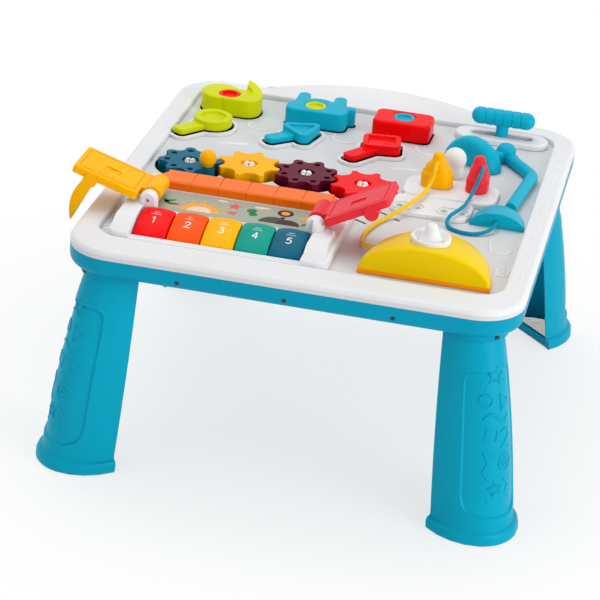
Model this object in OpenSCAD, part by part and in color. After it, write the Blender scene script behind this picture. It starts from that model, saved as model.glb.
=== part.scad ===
// Musical activity table for toddlers: a shell deck on four half-round legs, with a keyboard,
// picture pages, a gear train, pop-up figures, a slide handle, a lamp and an iron with plugs.
// Millimetres, +Z up, origin on the floor under the middle of the table.

/* [Table] */
// Height of the deck rim above the floor
table_h = 246; // [238:1:262]
// Width of the deck, left to right
deck_w = 460; // [456:1:476]
// Depth of the deck, without the bulge at the back
deck_d = 505; // [501:1:520]
// Corner radius of the deck
corner_r = 48; // [40:1:56]
// Height of the white rim above the line where the two shells meet
rim_h = 10; // [9:0.5:12]
// Height of the blue lower shell
apron_h = 20.5; // [19:0.5:24]
// How far the deck floor lies below the rim
floor_drop = 6; // [4:0.5:7]
// Width of the rim at the sides
rim_side = 24; // [20:1:26]
// Width of the rim at the front
rim_front = 40; // [34:1:40]
// Width of the rim at the back
rim_back = 24; // [20:1:28]
// Moulded wall of both shells
wall = 2.5; // [2:0.1:3]
// How far the back edge bulges
bulge = 20; // [14:1:21]
// How far the back crest stands above the rim
crest_h = 10; // [6:1:12]

/* [Legs] */
// Half width of a leg across its open side, at the top
leg_top_a = 30.5; // [28:0.5:33]
// Half width of a leg across its open side, at the foot
leg_foot_a = 44; // [40:0.5:46]
// Depth of a leg along the diagonal, at the top
leg_top_d = 39; // [36:0.5:41]
// Depth of a leg along the diagonal, at the foot
leg_foot_d = 54.5; // [50:0.5:56]
// How far each foot stands out along X and Y
leg_splay = 21.5; // [18:0.5:23]
// Wall of a leg
leg_wall = 4; // [3.4:0.2:5]
// How far the flange of the foot stands out
foot_flare = 5.5; // [4:0.5:7]
// Height of the flange of the foot
foot_h = 13.5; // [11:0.5:16]

/* [Keyboard] */
// Distance from one key to the next
key_pitch = 34.8; // [33:0.2:35]
// Gap between two keys
key_gap = 1.2; // [0.8:0.1:2]
// Length of a key
key_l = 45; // [42:0.5:46]
// Height of the housing above the deck floor
housing_h = 11; // [10:0.5:12]
// Radius of the key axle
key_axle_r = 1.5; // [1.2:0.1:2]
// Height of the light bar above the housing
bar_h = 10; // [8:0.5:12]

/* [Pages] */
// Length of a page from its hinge
page_l = 83; // [78:0.5:84]
// Width of a page along its hinge
page_w = 54; // [50:0.5:56]
// Thickness of a page
page_t = 8; // [6:0.5:8]
// Rise of the open yellow page, degrees
page_left_rise = 17; // [14:1:20]
// Rise of the open red page, degrees
page_right_rise = 28; // [20:1:34]

/* [Gears] */
// Distance between two gear shafts
gear_pitch = 63.3; // [62.6:0.1:64]
// Number of lobes on a gear
lobes = 8; // [8]
// Thickness of a gear
gear_t = 14; // [12:0.5:15]
// Radius of a gear shaft
stud_r = 5; // [4.5:0.1:5.5]

/* [Pop-up figures] */
// Height of a figure above the deck floor
figure_h = 21; // [18:0.5:24]
// Radius of the round insert in each figure
insert_r = 10.5; // [9:0.5:11]
// Radius of the rocker pins
pin_r = 1.5; // [1.2:0.1:1.8]

/* [Slide handle] */
// Length of the grip
grip_l = 72; // [60:1:74]
// Radius of the grip
grip_r = 9.6; // [8:0.1:10]
// Way of the handle to each side
handle_way = 28; // [20:1:30]

/* [Lamp and iron] */
// Radius of the lamp shade
shade_r = 41.5; // [38:0.5:43]
// Radius of the lamp arm
arm_r = 5.6; // [5:0.1:6]
// Half width of the iron
iron_a = 66; // [62:0.5:68]
// Depth of the iron
iron_d = 98; // [92:1:100]
// Height of the iron
iron_h = 34; // [30:0.5:36]
// Thickness of the sole plate
sole_t = 4.5; // [4:0.5:6]
// Height of a plug body
plug_h = 32; // [28:0.5:33]
// Diameter of the yellow cord
cord_yellow_d = 4.6;
// Diameter of the blue cord
cord_blue_d = 4;

/* [Clearances] */
// Gap between pieces that move past each other
move_gap = 1.2; // [1:0.1:1.4]
// Gap between a piece and its seat
seat_gap = 0.3; // [0.2:0.05:0.4]
// Radial play of a shaft in its hole
run_gap = 0.06; // [0.03:0.01:0.08]

/* [Hidden] */
$fn = 96;
E = 0.01;

// ---- heights
parting_z = table_h - rim_h;
floor_z = table_h - floor_drop;
tray_z = parting_z - apron_h;
floor_under_z = floor_z - wall;
leg_top_z = tray_z - seat_gap;

// ---- deck outline
bulge_half = 124;
bulge_r = (bulge_half * bulge_half + bulge * bulge) / (2 * bulge);
bulge_cy = deck_d / 2 + bulge - bulge_r;
apron_round = 9.5;
rim_round = 5;
well_w = deck_w - 2 * rim_side;
well_front = -deck_d / 2 + rim_front;
well_back = deck_d / 2 - rim_back;
well_r = 26;
back_y = deck_d / 2;

// ---- legs
leg_x = deck_w / 2 - 54.5;
leg_y = deck_d / 2 - 54.5;
leg_a_bow = 2;
leg_d_bow = 7.7;
panel_half = 50;
panel_drop = 2;
arc_steps = 11;
side_steps = 5;
inner_steps = 13;
collar_w = 4.5;
collar_drop = 8;
spigot_w = 26;
spigot_d = 12;
spigot_h = 12;

// ---- keyboard, placed from the left front corner of the deck
keys_x0 = -deck_w / 2 + 60;
keys_w = 5 * key_pitch;
keys_mid = keys_x0 + keys_w / 2;
keys_back = -deck_d / 2 + 96.5;
keys_front = keys_back - key_l;
key_arc_r = 73.8;
key_arc_y = keys_back - 4;
key_top_z = floor_z + 18.3;
key_bottom_z = floor_z + 1.5;
key_crown_r = 60;
key_wall = 2;
axle_y = keys_back + 6;
axle_z = floor_z + 5;
housing_top = floor_z + housing_h;
housing_x0 = keys_x0 - 24;
housing_x1 = keys_x0 + keys_w + 28;
housing_y0 = well_front + seat_gap;
housing_y1 = keys_back + 104;
cheek_w = 22;
key_swing = 4;

// ---- picture and light bar
picture_y0 = keys_back + 12;
picture_y1 = picture_y0 + 50;
picture_t = 1.2;
bar_y0 = picture_y1 + 3;
bar_d = 29;
bar_x0 = keys_x0 + 2;
bar_segments = 6;
bar_l = 176;
bar_foot = 14;

// ---- pages
hinge_z = floor_z + 23;
hinge_left_x = keys_x0 + 3;
hinge_right_x = keys_x0 + keys_w + 2;
page_y0 = keys_back - 2;
page_y1 = page_y0 + page_w;
knuckle_r = 9.5;
page_pin_r = 2;
post_r = 9.5;
page_gap = knuckle_r + 2.5;

// ---- gears
gear_r = 34.6;
gear_cut = 3.4;
gear_z = floor_z - 6.5;
gear_top = gear_z + gear_t;
pocket_z = gear_z - 0.4;
gear_x0 = -deck_w / 2 + 67;
gear_y0 = 2;
gear_turn = [14, -1, -6];
gear_hubs = [
    [gear_x0, gear_y0],
    [gear_x0 + gear_pitch * cos(gear_turn[0]), gear_y0 + gear_pitch * sin(gear_turn[0])],
    [gear_x0 + gear_pitch * (cos(gear_turn[0]) + cos(gear_turn[1])),
     gear_y0 + gear_pitch * (sin(gear_turn[0]) + sin(gear_turn[1]))],
    [gear_x0 + gear_pitch * (cos(gear_turn[0]) + cos(gear_turn[1]) + cos(gear_turn[2])),
     gear_y0 + gear_pitch * (sin(gear_turn[0]) + sin(gear_turn[1]) + sin(gear_turn[2]))]];
half_lobe = 180 / lobes;
crank_r = 24;
crank_turn = -25;

// ---- pop-up figures and their paddles
figure_y = back_y - 71.5;
figure_x = [-deck_w / 2 + 68, -deck_w / 2 + 168, -deck_w / 2 + 267];
figure_z0 = floor_z + 0.5;
figure_wall = 2.4;
rocker_y = figure_y - 34;
rocker_z = floor_z - 11;
paddle_z = floor_z + 4;
paddle_t = 10.5;
paddle_grip_t = 6;
paddle_y = figure_y - 63;
paddle_at = [[-6, 1], [-5, 5], [-13, 3]];
stem_w = 12;
collar_h = 3.5;
paddle_gap = 2.2 * move_gap;

// ---- slide handle
slide_x = deck_w / 2 - 84;
slide_y = back_y - 46.5;
slide_z = floor_z + 7.5;
slot_w = 11;
stem_r = 7;
grip_z = floor_z + 28;

// ---- lamp
shade_x = deck_w / 2 - 109;
shade_y = 111;
shade_turn = 62;
shade_sunk = 5;
bulb_x = shade_x - 10;
bulb_y = shade_y - 24;
bulb_r = 12.4;
joint_x = shade_x + 38;
joint_y = shade_y + 38;
joint_r = 10.5;
joint_h = 19;
arm_z = floor_z + arm_r + 0.3;
elbow_x = joint_x + 38;
elbow_y = joint_y - 50;
elbow_r = 15;
lamp_base_x = deck_w / 2 - 54;
lamp_base_y = -38;
lamp_base_a = 29;
lamp_base_d = 50;
lamp_base_h = 16;

// ---- plugs and sockets
socket_z = floor_z + 7;
plug_left = [deck_w / 2 - 130, 36];
plug_right = [deck_w / 2 - 87, 42];
plug_tiers = [15, 21];
plug_long = 35;
plug_short = 24;
prong_r = 2.4;
prong_l = 3.4;
prong_reach = 9.5;
socket_left = [deck_w / 2 - 149, -27];
socket_right = [deck_w / 2 - 102, -25];
socket_step = 2;

// ---- iron
iron_x = deck_w / 2 - 104;
iron_front = well_front + 16.5;
iron_z = floor_z + 0.3;
dial_x = iron_x;
dial_y = iron_front + 30.5;
dial_r = 20;
dial_z = iron_z + sole_t + iron_h - 11;

// ---- underside
battery_x = 110;
battery_y = 60;
battery_w = 64;
battery_d = 56;
cover_t = 2.4;
cell_r = 7.2;
battery_lid = 1.8;
battery_h = cover_t + 2 * cell_r + battery_lid + 0.8 - wall;
cell_l = 50;
switch_x = battery_x + 54;

// ---- cord routes
cord_yellow_path = [
    [100, 30.2, 275], [99.8, 26.4, 275.2], [99.4, 23.2, 273.6], [98.8, 21, 270.4], [98.1, 20, 266],
    [97.3, 19.2, 261.4], [96.3, 17.4, 257], [95.1, 13.6, 253.6], [93.4, 7, 251.4], [91.4, -2, 250.6],
    [89, -13, 250.6], [86.5, -22, 250.8], [83.6, -32, 250.8], [79, -42, 249.8], [72, -51, 246.6],
    [64, -61, 243.2], [58, -74, 242.7], [54, -87, 242.7], [51, -100, 242.7], [50, -113, 242.7],
    [51, -125, 243.2], [53, -136, 245], [57.5, -145, 247.4], [64, -150.6, 249], [69.6, -153.4, 249.6]];
cord_blue_path = [
    [145.9, 37, 275], [147.4, 34, 275.4], [148.2, 30.6, 275.4], [148.2, 27, 274.2],
    [147.4, 23.8, 271.2], [146.2, 21.6, 267], [144.9, 20.2, 262.4], [143.6, 18.4, 258],
    [142.2, 14.8, 254.4], [141, 9, 251.8], [140, 2, 250.6], [139.2, -6, 250.4], [138.4, -14, 250.5], [136.4, -23, 250.6], [133, -33, 250.4],
    [128, -43, 248.8], [126, -51, 244.8], [129.6, -58, 242.4], [138, -64, 242.3],
    [148, -66.5, 242.3], [158, -65, 242.4], [167, -60, 243.6], [173.4, -52, 245.6],
    [175.6, -45, 247], [176, -37.7, 247.4]];

// ---------------------------------------------------------------- plain helpers

function mix(a, b, t) = a + (b - a) * t;
function bow(t) = 4 * t * (1 - t);

// rounded rectangle on the origin
module rrect(w, d, r) {
    square([w - 2 * r, d], center = true);
    square([w, d - 2 * r], center = true);
    for (sx = [-1, 1], sy = [-1, 1])
        translate([sx * (w / 2 - r), sy * (d / 2 - r)]) circle(r);
}

// slab with round corners whose top edge is rounded by e
module soft_slab(w, d, r, h, e) {
    linear_extrude(h - e) rrect(w, d, r);
    linear_extrude(h) rrect(w - 2 * e, d - 2 * e, r - e);
    translate([0, 0, h - e]) {
        for (sx = [-1, 1], sy = [-1, 1])
            translate([sx * (w / 2 - r), sy * (d / 2 - r), 0])
                rotate_extrude() {
                    translate([r - e, 0]) intersection() {
                        circle(e);
                        square(e);
                    }
                    square([r - e, e]);
                }
        for (sy = [-1, 1])
            translate([-(w / 2 - r), sy * (d / 2 - e), 0]) rotate([0, 90, 0])
                cylinder(r = e, h = w - 2 * r);
        for (sx = [-1, 1])
            translate([sx * (w / 2 - e), d / 2 - r, 0]) rotate([90, 0, 0])
                cylinder(r = e, h = d - 2 * r);
    }
}

// bar of length l along X with round ends, seen from above
module stadium(l, w) {
    square([l - w, w], center = true);
    for (s = [-1, 1]) translate([s * (l - w) / 2, 0]) circle(w / 2);
}

// rounded post: a cylinder with a dome on top
module domed_post(r, h) {
    cylinder(r = r, h = h - r);
    translate([0, 0, h - r]) sphere(r);
}

// rings of points joined into one closed solid, ring after ring
function ring_faces(rings, n) = concat(
    [for (k = [0:rings - 2], i = [0:n - 1])
        [k * n + i, k * n + (i + 1) % n, (k + 1) * n + (i + 1) % n, (k + 1) * n + i]],
    [[for (i = [n - 1:-1:0]) i]],
    [[for (i = [0:n - 1]) (rings - 1) * n + i]]);

// ---------------------------------------------------------------- cords

function unit(v) = v / norm(v);
function heading(p, i) =
    unit(p[min(i + 1, len(p) - 1)] - p[max(i - 1, 0)]);
function beside(t) = unit(cross(t, abs(t[2]) > 0.9 ? [1, 0, 0] : [0, 0, 1]));
module tube_along(path, d, sides) {
    rings = [for (i = [0:len(path) - 1])
        let (t = heading(path, i), u = beside(t), v = cross(u, t))
        for (k = [0:sides - 1])
            path[i] + d / 2 * (cos(360 * k / sides) * u + sin(360 * k / sides) * v)];
    polyhedron(rings, ring_faces(len(path), sides), convexity = 8);
}

// ---------------------------------------------------------------- deck shells

module bulge_disc(inset, half = bulge_half) {
    intersection() {
        translate([0, bulge_cy]) circle(bulge_r - inset, $fn = 360);
        translate([-half, 0]) square([2 * half, back_y + bulge]);
    }
}

// rounded edge along the bulge, standing up from z = 0
module bulge_edge(e) {
    intersection() {
        translate([0, bulge_cy, 0]) rotate_extrude($fn = 360)
            translate([bulge_r - e, 0]) circle(e, $fn = 48);
        translate([-bulge_half, back_y - 2 * e, 0]) cube([2 * bulge_half, bulge + 2 * e, e]);
    }
}

module tray_body(h, e) {
    soft_slab(deck_w, deck_d, corner_r, h, e);
    linear_extrude(h - e) bulge_disc(0);
    linear_extrude(h) bulge_disc(e);
    translate([0, 0, h - e]) bulge_edge(e);
}

module well_2d(g = 0) {
    translate([0, (well_front + well_back) / 2])
        rrect(well_w + 2 * g, well_back - well_front + 2 * g, well_r + g);
}

// the crest: behind the well the rim rises towards the bulge
crest_y = back_y - rim_round;
crest_tilt = atan(crest_h / (rim_round + bulge));
module crest() {
    intersection() {
        translate([0, 0, parting_z]) linear_extrude(rim_h + crest_h + 2)
            bulge_disc(0, bulge_half + 28);
        translate([0, crest_y, table_h]) rotate([crest_tilt, 0, 0])
            translate([-deck_w / 2, -60, -60]) cube([deck_w, 120, 60]);
    }
}

// ---- outlines of the figures and paddles, each grown by g
module snail_2d(g = 0) {
    translate([-13, 0]) circle(22 + g);
    translate([10, -5]) rrect(50 + 2 * g, 36 + 2 * g, 16 + g);
    translate([9, -2]) intersection() {
        circle(26.5 + g);
        translate([5 - g, -10]) square([30 + g, 50]);
    }
}
module snail_tail_2d() {
    translate([9, -2]) intersection() {
        difference() {
            circle(26.5);
            circle(15.5);
        }
        translate([5, 4]) square([30, 40]);
    }
}
module plane_2d(g = 0) {
    translate([1, -9]) rrect(70 + 2 * g, 28 + 2 * g, 9 + g);
    circle(20.5 + g);
    for (x = [-21, 21]) translate([x, 14]) rrect(14 + 2 * g, 40 + 2 * g, 6.5 + g);
    translate([36, 3.5]) rrect(14 + 2 * g, 10 + 2 * g, 3.2 + g);
}
module camera_2d(g = 0) {
    rrect(66 + 2 * g, 42 + 2 * g, 8 + g);
}
module handle_2d(g, reach, w, turn) {
    rotate(turn) translate([-reach / 2, 0]) rrect(reach + 2 * g, w + 2 * g, 5 + g);
}
module round_head_2d(g = 0) {
    circle(21.5 + g);
}
module triangle_head_2d(g = 0) {
    polygon([for (a = [47, 167, 287], k = [-6:6])
        16 * [cos(a), sin(a)] + (7 + g) * [cos(a + 10 * k), sin(a + 10 * k)]]);
}
module square_head_2d(g = 0) {
    rotate(8) rrect(42 + 2 * g, 36 + 2 * g, 8 + g);
}
module round_grip_2d(g = 0) { handle_2d(g, 52, 17, 53); }
module triangle_grip_2d(g = 0) { handle_2d(g, 46, 16, 44); }
module square_grip_2d(g = 0) { handle_2d(g, 55, 17, 57); }
module round_paddle_2d(g = 0) {
    round_head_2d(g);
    round_grip_2d(g);
}
module triangle_paddle_2d(g = 0) {
    triangle_head_2d(g);
    triangle_grip_2d(g);
}
module square_paddle_2d(g = 0) {
    square_head_2d(g);
    square_grip_2d(g);
}

module at_figure(i) { translate([figure_x[i], figure_y]) children(); }
module at_paddle(i) { translate([figure_x[i] + paddle_at[i][0], paddle_y + paddle_at[i][1]]) children(); }

module slots_2d() {
    speaker_slots = [[39, -73], [46, -60], [60, -45], [74, -55], [84, -36]];
    slot_l = [16, 17, 14, 9, 13];
    for (i = [0:len(speaker_slots) - 1])
        translate(speaker_slots[i]) rotate(-30) stadium(slot_l[i], 3);
}

module gear_pocket_2d(g) {
    for (h = gear_hubs) translate(h) circle(gear_r + g);
}

module top_panel() {
    color("whitesmoke") difference() {
        union() {
            translate([0, 0, parting_z]) soft_slab(deck_w, deck_d, corner_r, rim_h, rim_round);
            crest();
            // collars round the figures and paddles
            translate([0, 0, floor_z - E]) linear_extrude(collar_h + E) intersection() {
                union() {
                    at_paddle(0) round_paddle_2d(6);
                    at_paddle(1) triangle_paddle_2d(6);
                    at_paddle(2) square_paddle_2d(6);
                }
                well_2d();
            }
        }
        // the well, with the collars left standing
        translate([0, 0, floor_z]) linear_extrude(20) difference() {
            well_2d();
            at_paddle(0) round_paddle_2d(6);
            at_paddle(1) triangle_paddle_2d(6);
            at_paddle(2) square_paddle_2d(6);
        }
        translate([0, 0, floor_z + collar_h]) linear_extrude(20) well_2d();
        // hollow of the shell: under the floor, and up into the rim
        translate([0, 0, parting_z - 1]) linear_extrude(floor_under_z - parting_z + 1)
            rrect(deck_w - 2 * wall, deck_d - 2 * wall, corner_r - wall);
        translate([0, 0, parting_z - 1]) linear_extrude(rim_h + 1 - wall) difference() {
            rrect(deck_w - 2 * rim_round, deck_d - 2 * rim_round, corner_r - rim_round);
            well_2d(wall);
        }
        translate([0, 0, parting_z - 1]) linear_extrude(rim_h + 1 - wall) difference() {
            bulge_disc(wall);
            well_2d(wall);
        }
        // openings
        translate([0, 0, tray_z]) linear_extrude(60) {
            at_figure(0) snail_2d(move_gap);
            at_figure(1) plane_2d(move_gap);
            at_figure(2) camera_2d(move_gap);
            at_paddle(0) round_paddle_2d(paddle_gap);
            at_paddle(1) triangle_paddle_2d(paddle_gap);
            at_paddle(2) square_paddle_2d(paddle_gap);
            gear_pocket_2d(gear_cut);
            slots_2d();
            translate([slide_x, slide_y]) stadium(2 * handle_way + slot_w + 4, slot_w);
            translate([keys_mid, (keys_back + 2 + keys_front) / 2])
                square([keys_w + 2, key_l + 6], center = true);
        }
    }
    color("whitesmoke") gear_tray();
    color("whitesmoke") rocker_ears();
}

// dished plate that carries the gear studs
module gear_tray() {
    translate([0, 0, pocket_z - wall]) linear_extrude(wall) gear_pocket_2d(gear_cut + 2);
    translate([0, 0, pocket_z - wall]) linear_extrude(floor_z - pocket_z + wall) difference() {
        gear_pocket_2d(gear_cut + 2);
        gear_pocket_2d(gear_cut);
    }
}

// ears under the deck that hold the rocker pins
ear_t = 3;
ear_x = 10;
module rocker_ears() {
    for (i = [0:2], s = [-1, 1])
        translate([figure_x[i] + s * ear_x - ear_t / 2, rocker_y - 5, rocker_z - 4])
            difference() {
                cube([ear_t, 10, floor_under_z - rocker_z + 4 + 1]);
                translate([-1, 5, 4]) rotate([0, 90, 0]) cylinder(r = pin_r + 0.05, h = ear_t + 2);
            }
}

module bottom_tray() {
    color([0, 0.58, 0.7]) {
        difference() {
            translate([0, 0, parting_z - seat_gap]) mirror([0, 0, 1])
                tray_body(apron_h - seat_gap, apron_round);
            translate([0, 0, tray_z + wall]) linear_extrude(apron_h)
                rrect(deck_w - 2 * apron_round, deck_d - 2 * apron_round, corner_r - apron_round);
            translate([0, 0, tray_z + apron_round]) linear_extrude(apron_h)
                rrect(deck_w - 2 * wall, deck_d - 2 * wall, corner_r - wall);
            // battery door, switch and spigot openings
            translate([battery_x, battery_y, tray_z - 1]) linear_extrude(wall + 2)
                square([battery_w, battery_d], center = true);
            translate([switch_x, battery_y, tray_z - 1]) linear_extrude(wall + 2)
                square([13, 6], center = true);
            at_legs() translate([-spigot_w / 2, 6, tray_z - 1]) cube([spigot_w, spigot_d, wall + 2]);
            screw_holes();
        }
        battery_walls();
        at_legs() leg_collar();
    }
}

module battery_walls() {
    t = battery_lid;
    translate([battery_x, battery_y, tray_z + wall - E]) difference() {
        linear_extrude(battery_h) square([battery_w + 2 * t, battery_d + 2 * t], center = true);
        translate([0, 0, -1]) linear_extrude(battery_h - t + 1)
            square([battery_w, battery_d], center = true);
    }
}

// ---------------------------------------------------------------- legs

// frame of each leg: Y points outwards along the diagonal, X along the open side
module at_legs() {
    for (sx = [-1, 1], sy = [-1, 1]) at_leg(sx, sy) children();
}
module at_leg(sx, sy) {
    mirror([sx < 0 ? 1 : 0, 0, 0]) mirror([0, sy < 0 ? 1 : 0, 0])
        translate([leg_x, leg_y, 0]) rotate(-45) children();
}

function leg_a(t) = mix(leg_top_a, leg_foot_a, t) + leg_a_bow * bow(t);
function leg_d(t) = mix(leg_top_d, leg_foot_d, t) + leg_d_bow * bow(t);
function leg_shift(t) = leg_splay * sqrt(2) * t;

// each station: height, flare of the flange, share of the panel width, panel depth,
// and whether the section is closed by the plate at the top
leg_plate = 3;
panel_z0 = 27;
panel_z1 = leg_top_z - 39;
leg_stations = [
    [0, foot_flare - 1.5, 0.5, 0], [2, foot_flare, 0.5, 0], [foot_h - 4.5, foot_flare, 0.5, 0],
    [foot_h - 1.5, foot_flare - 1.6, 0.5, 0], [foot_h, 0.8, 0.5, 0], [foot_h + 2.5, 0, 0.5, 0],
    [panel_z0, 0, 0.55, 0], [panel_z0 + 1.2, 0, 0.55, panel_drop],
    [panel_z0 + 5, 0, 0.8, panel_drop], [panel_z0 + 12, 0, 0.95, panel_drop],
    [panel_z0 + 22, 0, 1, panel_drop], [70, 0, 1, panel_drop], [95, 0, 1, panel_drop],
    [120, 0, 1, panel_drop], [143, 0, 1, panel_drop], [panel_z1 - 12, 0, 0.98, panel_drop],
    [panel_z1 - 4, 0, 0.9, panel_drop], [panel_z1 - 1.2, 0, 0.75, panel_drop],
    [panel_z1, 0, 0.75, 0], [panel_z1 + 12, 0, 0.75, 0], [panel_z1 + 26, 0, 0.75, 0],
    [leg_top_z - leg_plate - 0.4, 0, 0.75, 0], [leg_top_z - leg_plate, 0, 0.75, 0, true],
    [leg_top_z, 0, 0.75, 0, true]];

function leg_point(z, angle, inset) =
    let (t = 1 - z / leg_top_z)
    [(leg_a(t) - inset) * sin(angle), leg_shift(t) + (leg_d(t) - inset) * cos(angle), z];
function leg_ring(s) =
    let (w = panel_half * s[2], e = w + 2)
    concat(
        [for (i = [0:side_steps - 1]) leg_point(s[0], mix(-90, -e, i / (side_steps - 1)), -s[1])],
        [for (i = [0:arc_steps - 1]) leg_point(s[0], mix(-w, w, i / (arc_steps - 1)), s[3] - s[1])],
        [for (i = [0:side_steps - 1]) leg_point(s[0], mix(e, 90, i / (side_steps - 1)), -s[1])],
        [for (i = [0:inner_steps - 1]) let (v = mix(88, -88, i / (inner_steps - 1)))
            s[4] ? plate_point(s[0], v) : leg_point(s[0], v, leg_wall)]);
function plate_point(z, angle) =
    let (t = 1 - z / leg_top_z)
    [(leg_a(t) - leg_wall) * sin(angle), leg_shift(t) + 1 + 2 * cos(angle), z];

module leg() {
    ring_n = 2 * side_steps + arc_steps + inner_steps;
    polyhedron([for (s = leg_stations) each leg_ring(s)],
        ring_faces(len(leg_stations), ring_n), convexity = 6);
    // spigot that plugs into the deck
    translate([-spigot_w / 2 + seat_gap, 6 + seat_gap, leg_top_z - 1])
        cube([spigot_w - 2 * seat_gap, spigot_d - 2 * seat_gap, spigot_h + 1]);
    // bar across the open side at the floor
    foot_half = leg_foot_a - leg_wall / 2;
    translate([-foot_half, leg_splay * sqrt(2) + 1.5, 0.5]) cube([2 * foot_half, 4, 9]);
}
module leg_front_left() { color([0.06, 0.66, 0.78]) at_leg(-1, -1) leg(); }
module leg_front_right() { color([0.06, 0.66, 0.78]) at_leg(1, -1) leg(); }
module leg_back_left() { color([0.06, 0.66, 0.78]) at_leg(-1, 1) leg(); }
module leg_back_right() { color([0.06, 0.66, 0.78]) at_leg(1, 1) leg(); }

// skirt of the tray round the outer side of each leg top
module leg_collar() {
    t = collar_drop / leg_top_z;
    gap = 1;
    translate([0, 0, tray_z - collar_drop]) linear_extrude(collar_drop + wall) difference() {
        polygon([for (i = [0:24]) let (a = mix(-90, 90, i / 24))
            [(leg_a(t) + collar_w) * sin(a), leg_shift(t) + (leg_d(t) + collar_w) * cos(a)]]);
        polygon([for (i = [0:24]) let (a = mix(-90, 90, i / 24))
            [(leg_a(t) + gap) * sin(a), leg_shift(t) + (leg_d(t) + gap) * cos(a)]]);
        translate([-60, -20]) square([120, 26]);
    }
}

// ---------------------------------------------------------------- screws

screw_r = 1.5;
screw_head_r = 2.3;
screw_z = parting_z - 12;
screw_pitch = 108;
leg_screw_y = leg_d(collar_drop / leg_top_z) + leg_shift(collar_drop / leg_top_z);

// places of the screws in the walls of the tray; Z of each points outwards
module at_tray_screws() {
    for (k = [-1:1], s = [-1, 1])
        translate([k * screw_pitch, s * (deck_d / 2 + (s > 0 ? bulge_at(k) : 0)), screw_z])
            rotate([-s * 90, 0, 0]) children();
    for (k = [-1:1], s = [-1, 1])
        translate([s * deck_w / 2, k * screw_pitch, screw_z]) rotate([0, s * 90, 0]) children();
}
function bulge_at(k) =
    bulge_cy + sqrt(bulge_r * bulge_r - k * k * screw_pitch * screw_pitch) - back_y;
module screw_holes() {
    at_tray_screws() {
        translate([0, 0, -14]) cylinder(r = screw_r + 0.05, h = 20);
        translate([0, 0, -1.2]) cylinder(r = screw_head_r + 0.2, h = 6);
    }
}
module screw(l) {
    translate([0, 0, -l]) cylinder(r = screw_r, h = l - 1.2 + E);
    translate([0, 0, -1.2 + E]) cylinder(r = screw_head_r, h = 1);
}
module tray_screws() { color("dimgray") at_tray_screws() screw(8); }

module at_leg_screws() {
    at_legs() translate([0, leg_screw_y + collar_w + 0.1, tray_z - 4]) rotate([-90, 0, 0]) children();
}
module leg_screws() {
    color("dimgray") at_leg_screws() cylinder(r = screw_head_r, h = 1.2);
}

// ---------------------------------------------------------------- keyboard

// side profile of keys and cheeks: a long arc that falls to the front
module key_arc(x0, w, lift) {
    translate([x0, key_arc_y, key_top_z - key_arc_r + lift]) rotate([0, 90, 0])
        cylinder(r = key_arc_r, h = w, $fn = 180);
}

module keyboard_housing() {
    w = housing_x1 - housing_x0;
    d = housing_y1 - housing_y0;
    color("white") difference() {
        union() {
            translate([housing_x0 + w / 2, housing_y0 + d / 2, floor_z + seat_gap])
                soft_slab(w, d, 12, housing_h - seat_gap, 3);
            // cheeks beside the keys
            for (x = [keys_x0 - cheek_w, keys_x0 + keys_w + 1])
                intersection() {
                    translate([x + cheek_w / 2, housing_y0 + 37, floor_z + 2])
                        soft_slab(cheek_w, 70, 8, 17, 4);
                    key_arc(x, cheek_w, 1.2);
                }
            // posts that carry the page pins
            for (x = [hinge_left_x, hinge_right_x]) {
                translate([x, page_y0 + 9, floor_z + 4]) domed_post(post_r, hinge_z - floor_z - 4 + post_r);
                translate([x - 5, page_y1 + 1, floor_z + 4]) cube([10, 6, hinge_z - floor_z - 2]);
                translate([x, page_y1 + 7, hinge_z]) rotate([90, 0, 0]) cylinder(r = 5, h = 6);
            }
        }
        // room for the keys and for the knuckles
        translate([keys_x0 - 1, keys_front - 1.2, floor_z - 1])
            cube([keys_w + 2, key_l + 2.2, 40]);
        translate([keys_x0 - 1, housing_y0 - 1, table_h - 0.6])
            cube([keys_w + 2, keys_front - housing_y0, 40]);
        translate([keys_x0 - 1, keys_back, floor_z - 1]) cube([keys_w + 2, 20, housing_h - 1.5]);
        for (x = [hinge_left_x, hinge_right_x]) {
            translate([x, page_y1 + 0.7, hinge_z]) rotate([90, 0, 0])
                cylinder(r = knuckle_r + 1, h = page_y1 - page_y0 - 17.4);
            translate([x, page_y1 + 20, hinge_z]) rotate([90, 0, 0])
                cylinder(r = page_pin_r + 0.05, h = page_w + 20);
        }
        // shallow seat of the picture
        translate([keys_x0 + 3, picture_y0, housing_top - picture_t])
            cube([keys_w - 10, picture_y1 - picture_y0, 10]);
        // holes for the key axle
        translate([keys_x0 - 8, axle_y, axle_z]) rotate([0, 90, 0])
            cylinder(r = key_axle_r + 0.03, h = keys_w + 16);
    }
}

// body of a key: long arc to the front, crowned across, front edge bowed; skin is the inset
module key_form(x0, w, skin) {
    arc_drop = 1.6;
    plan_r = (w * w / 4 + arc_drop * arc_drop) / (2 * arc_drop);
    intersection() {
        translate([x0 + skin, keys_front - 4, key_bottom_z - skin])
            cube([w - 2 * skin, key_l + 4 - skin, 40]);
        translate([x0, key_arc_y, key_top_z - key_arc_r]) rotate([0, 90, 0])
            rotate_extrude($fn = 180) intersection() {
                translate([key_arc_r - key_crown_r, w / 2]) circle(key_crown_r - skin, $fn = 180);
                square([key_arc_r, w]);
            }
        translate([x0 + w / 2, keys_front + plan_r, 0])
            cylinder(r = plan_r - skin, h = 400, $fn = 180);
    }
}

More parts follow.
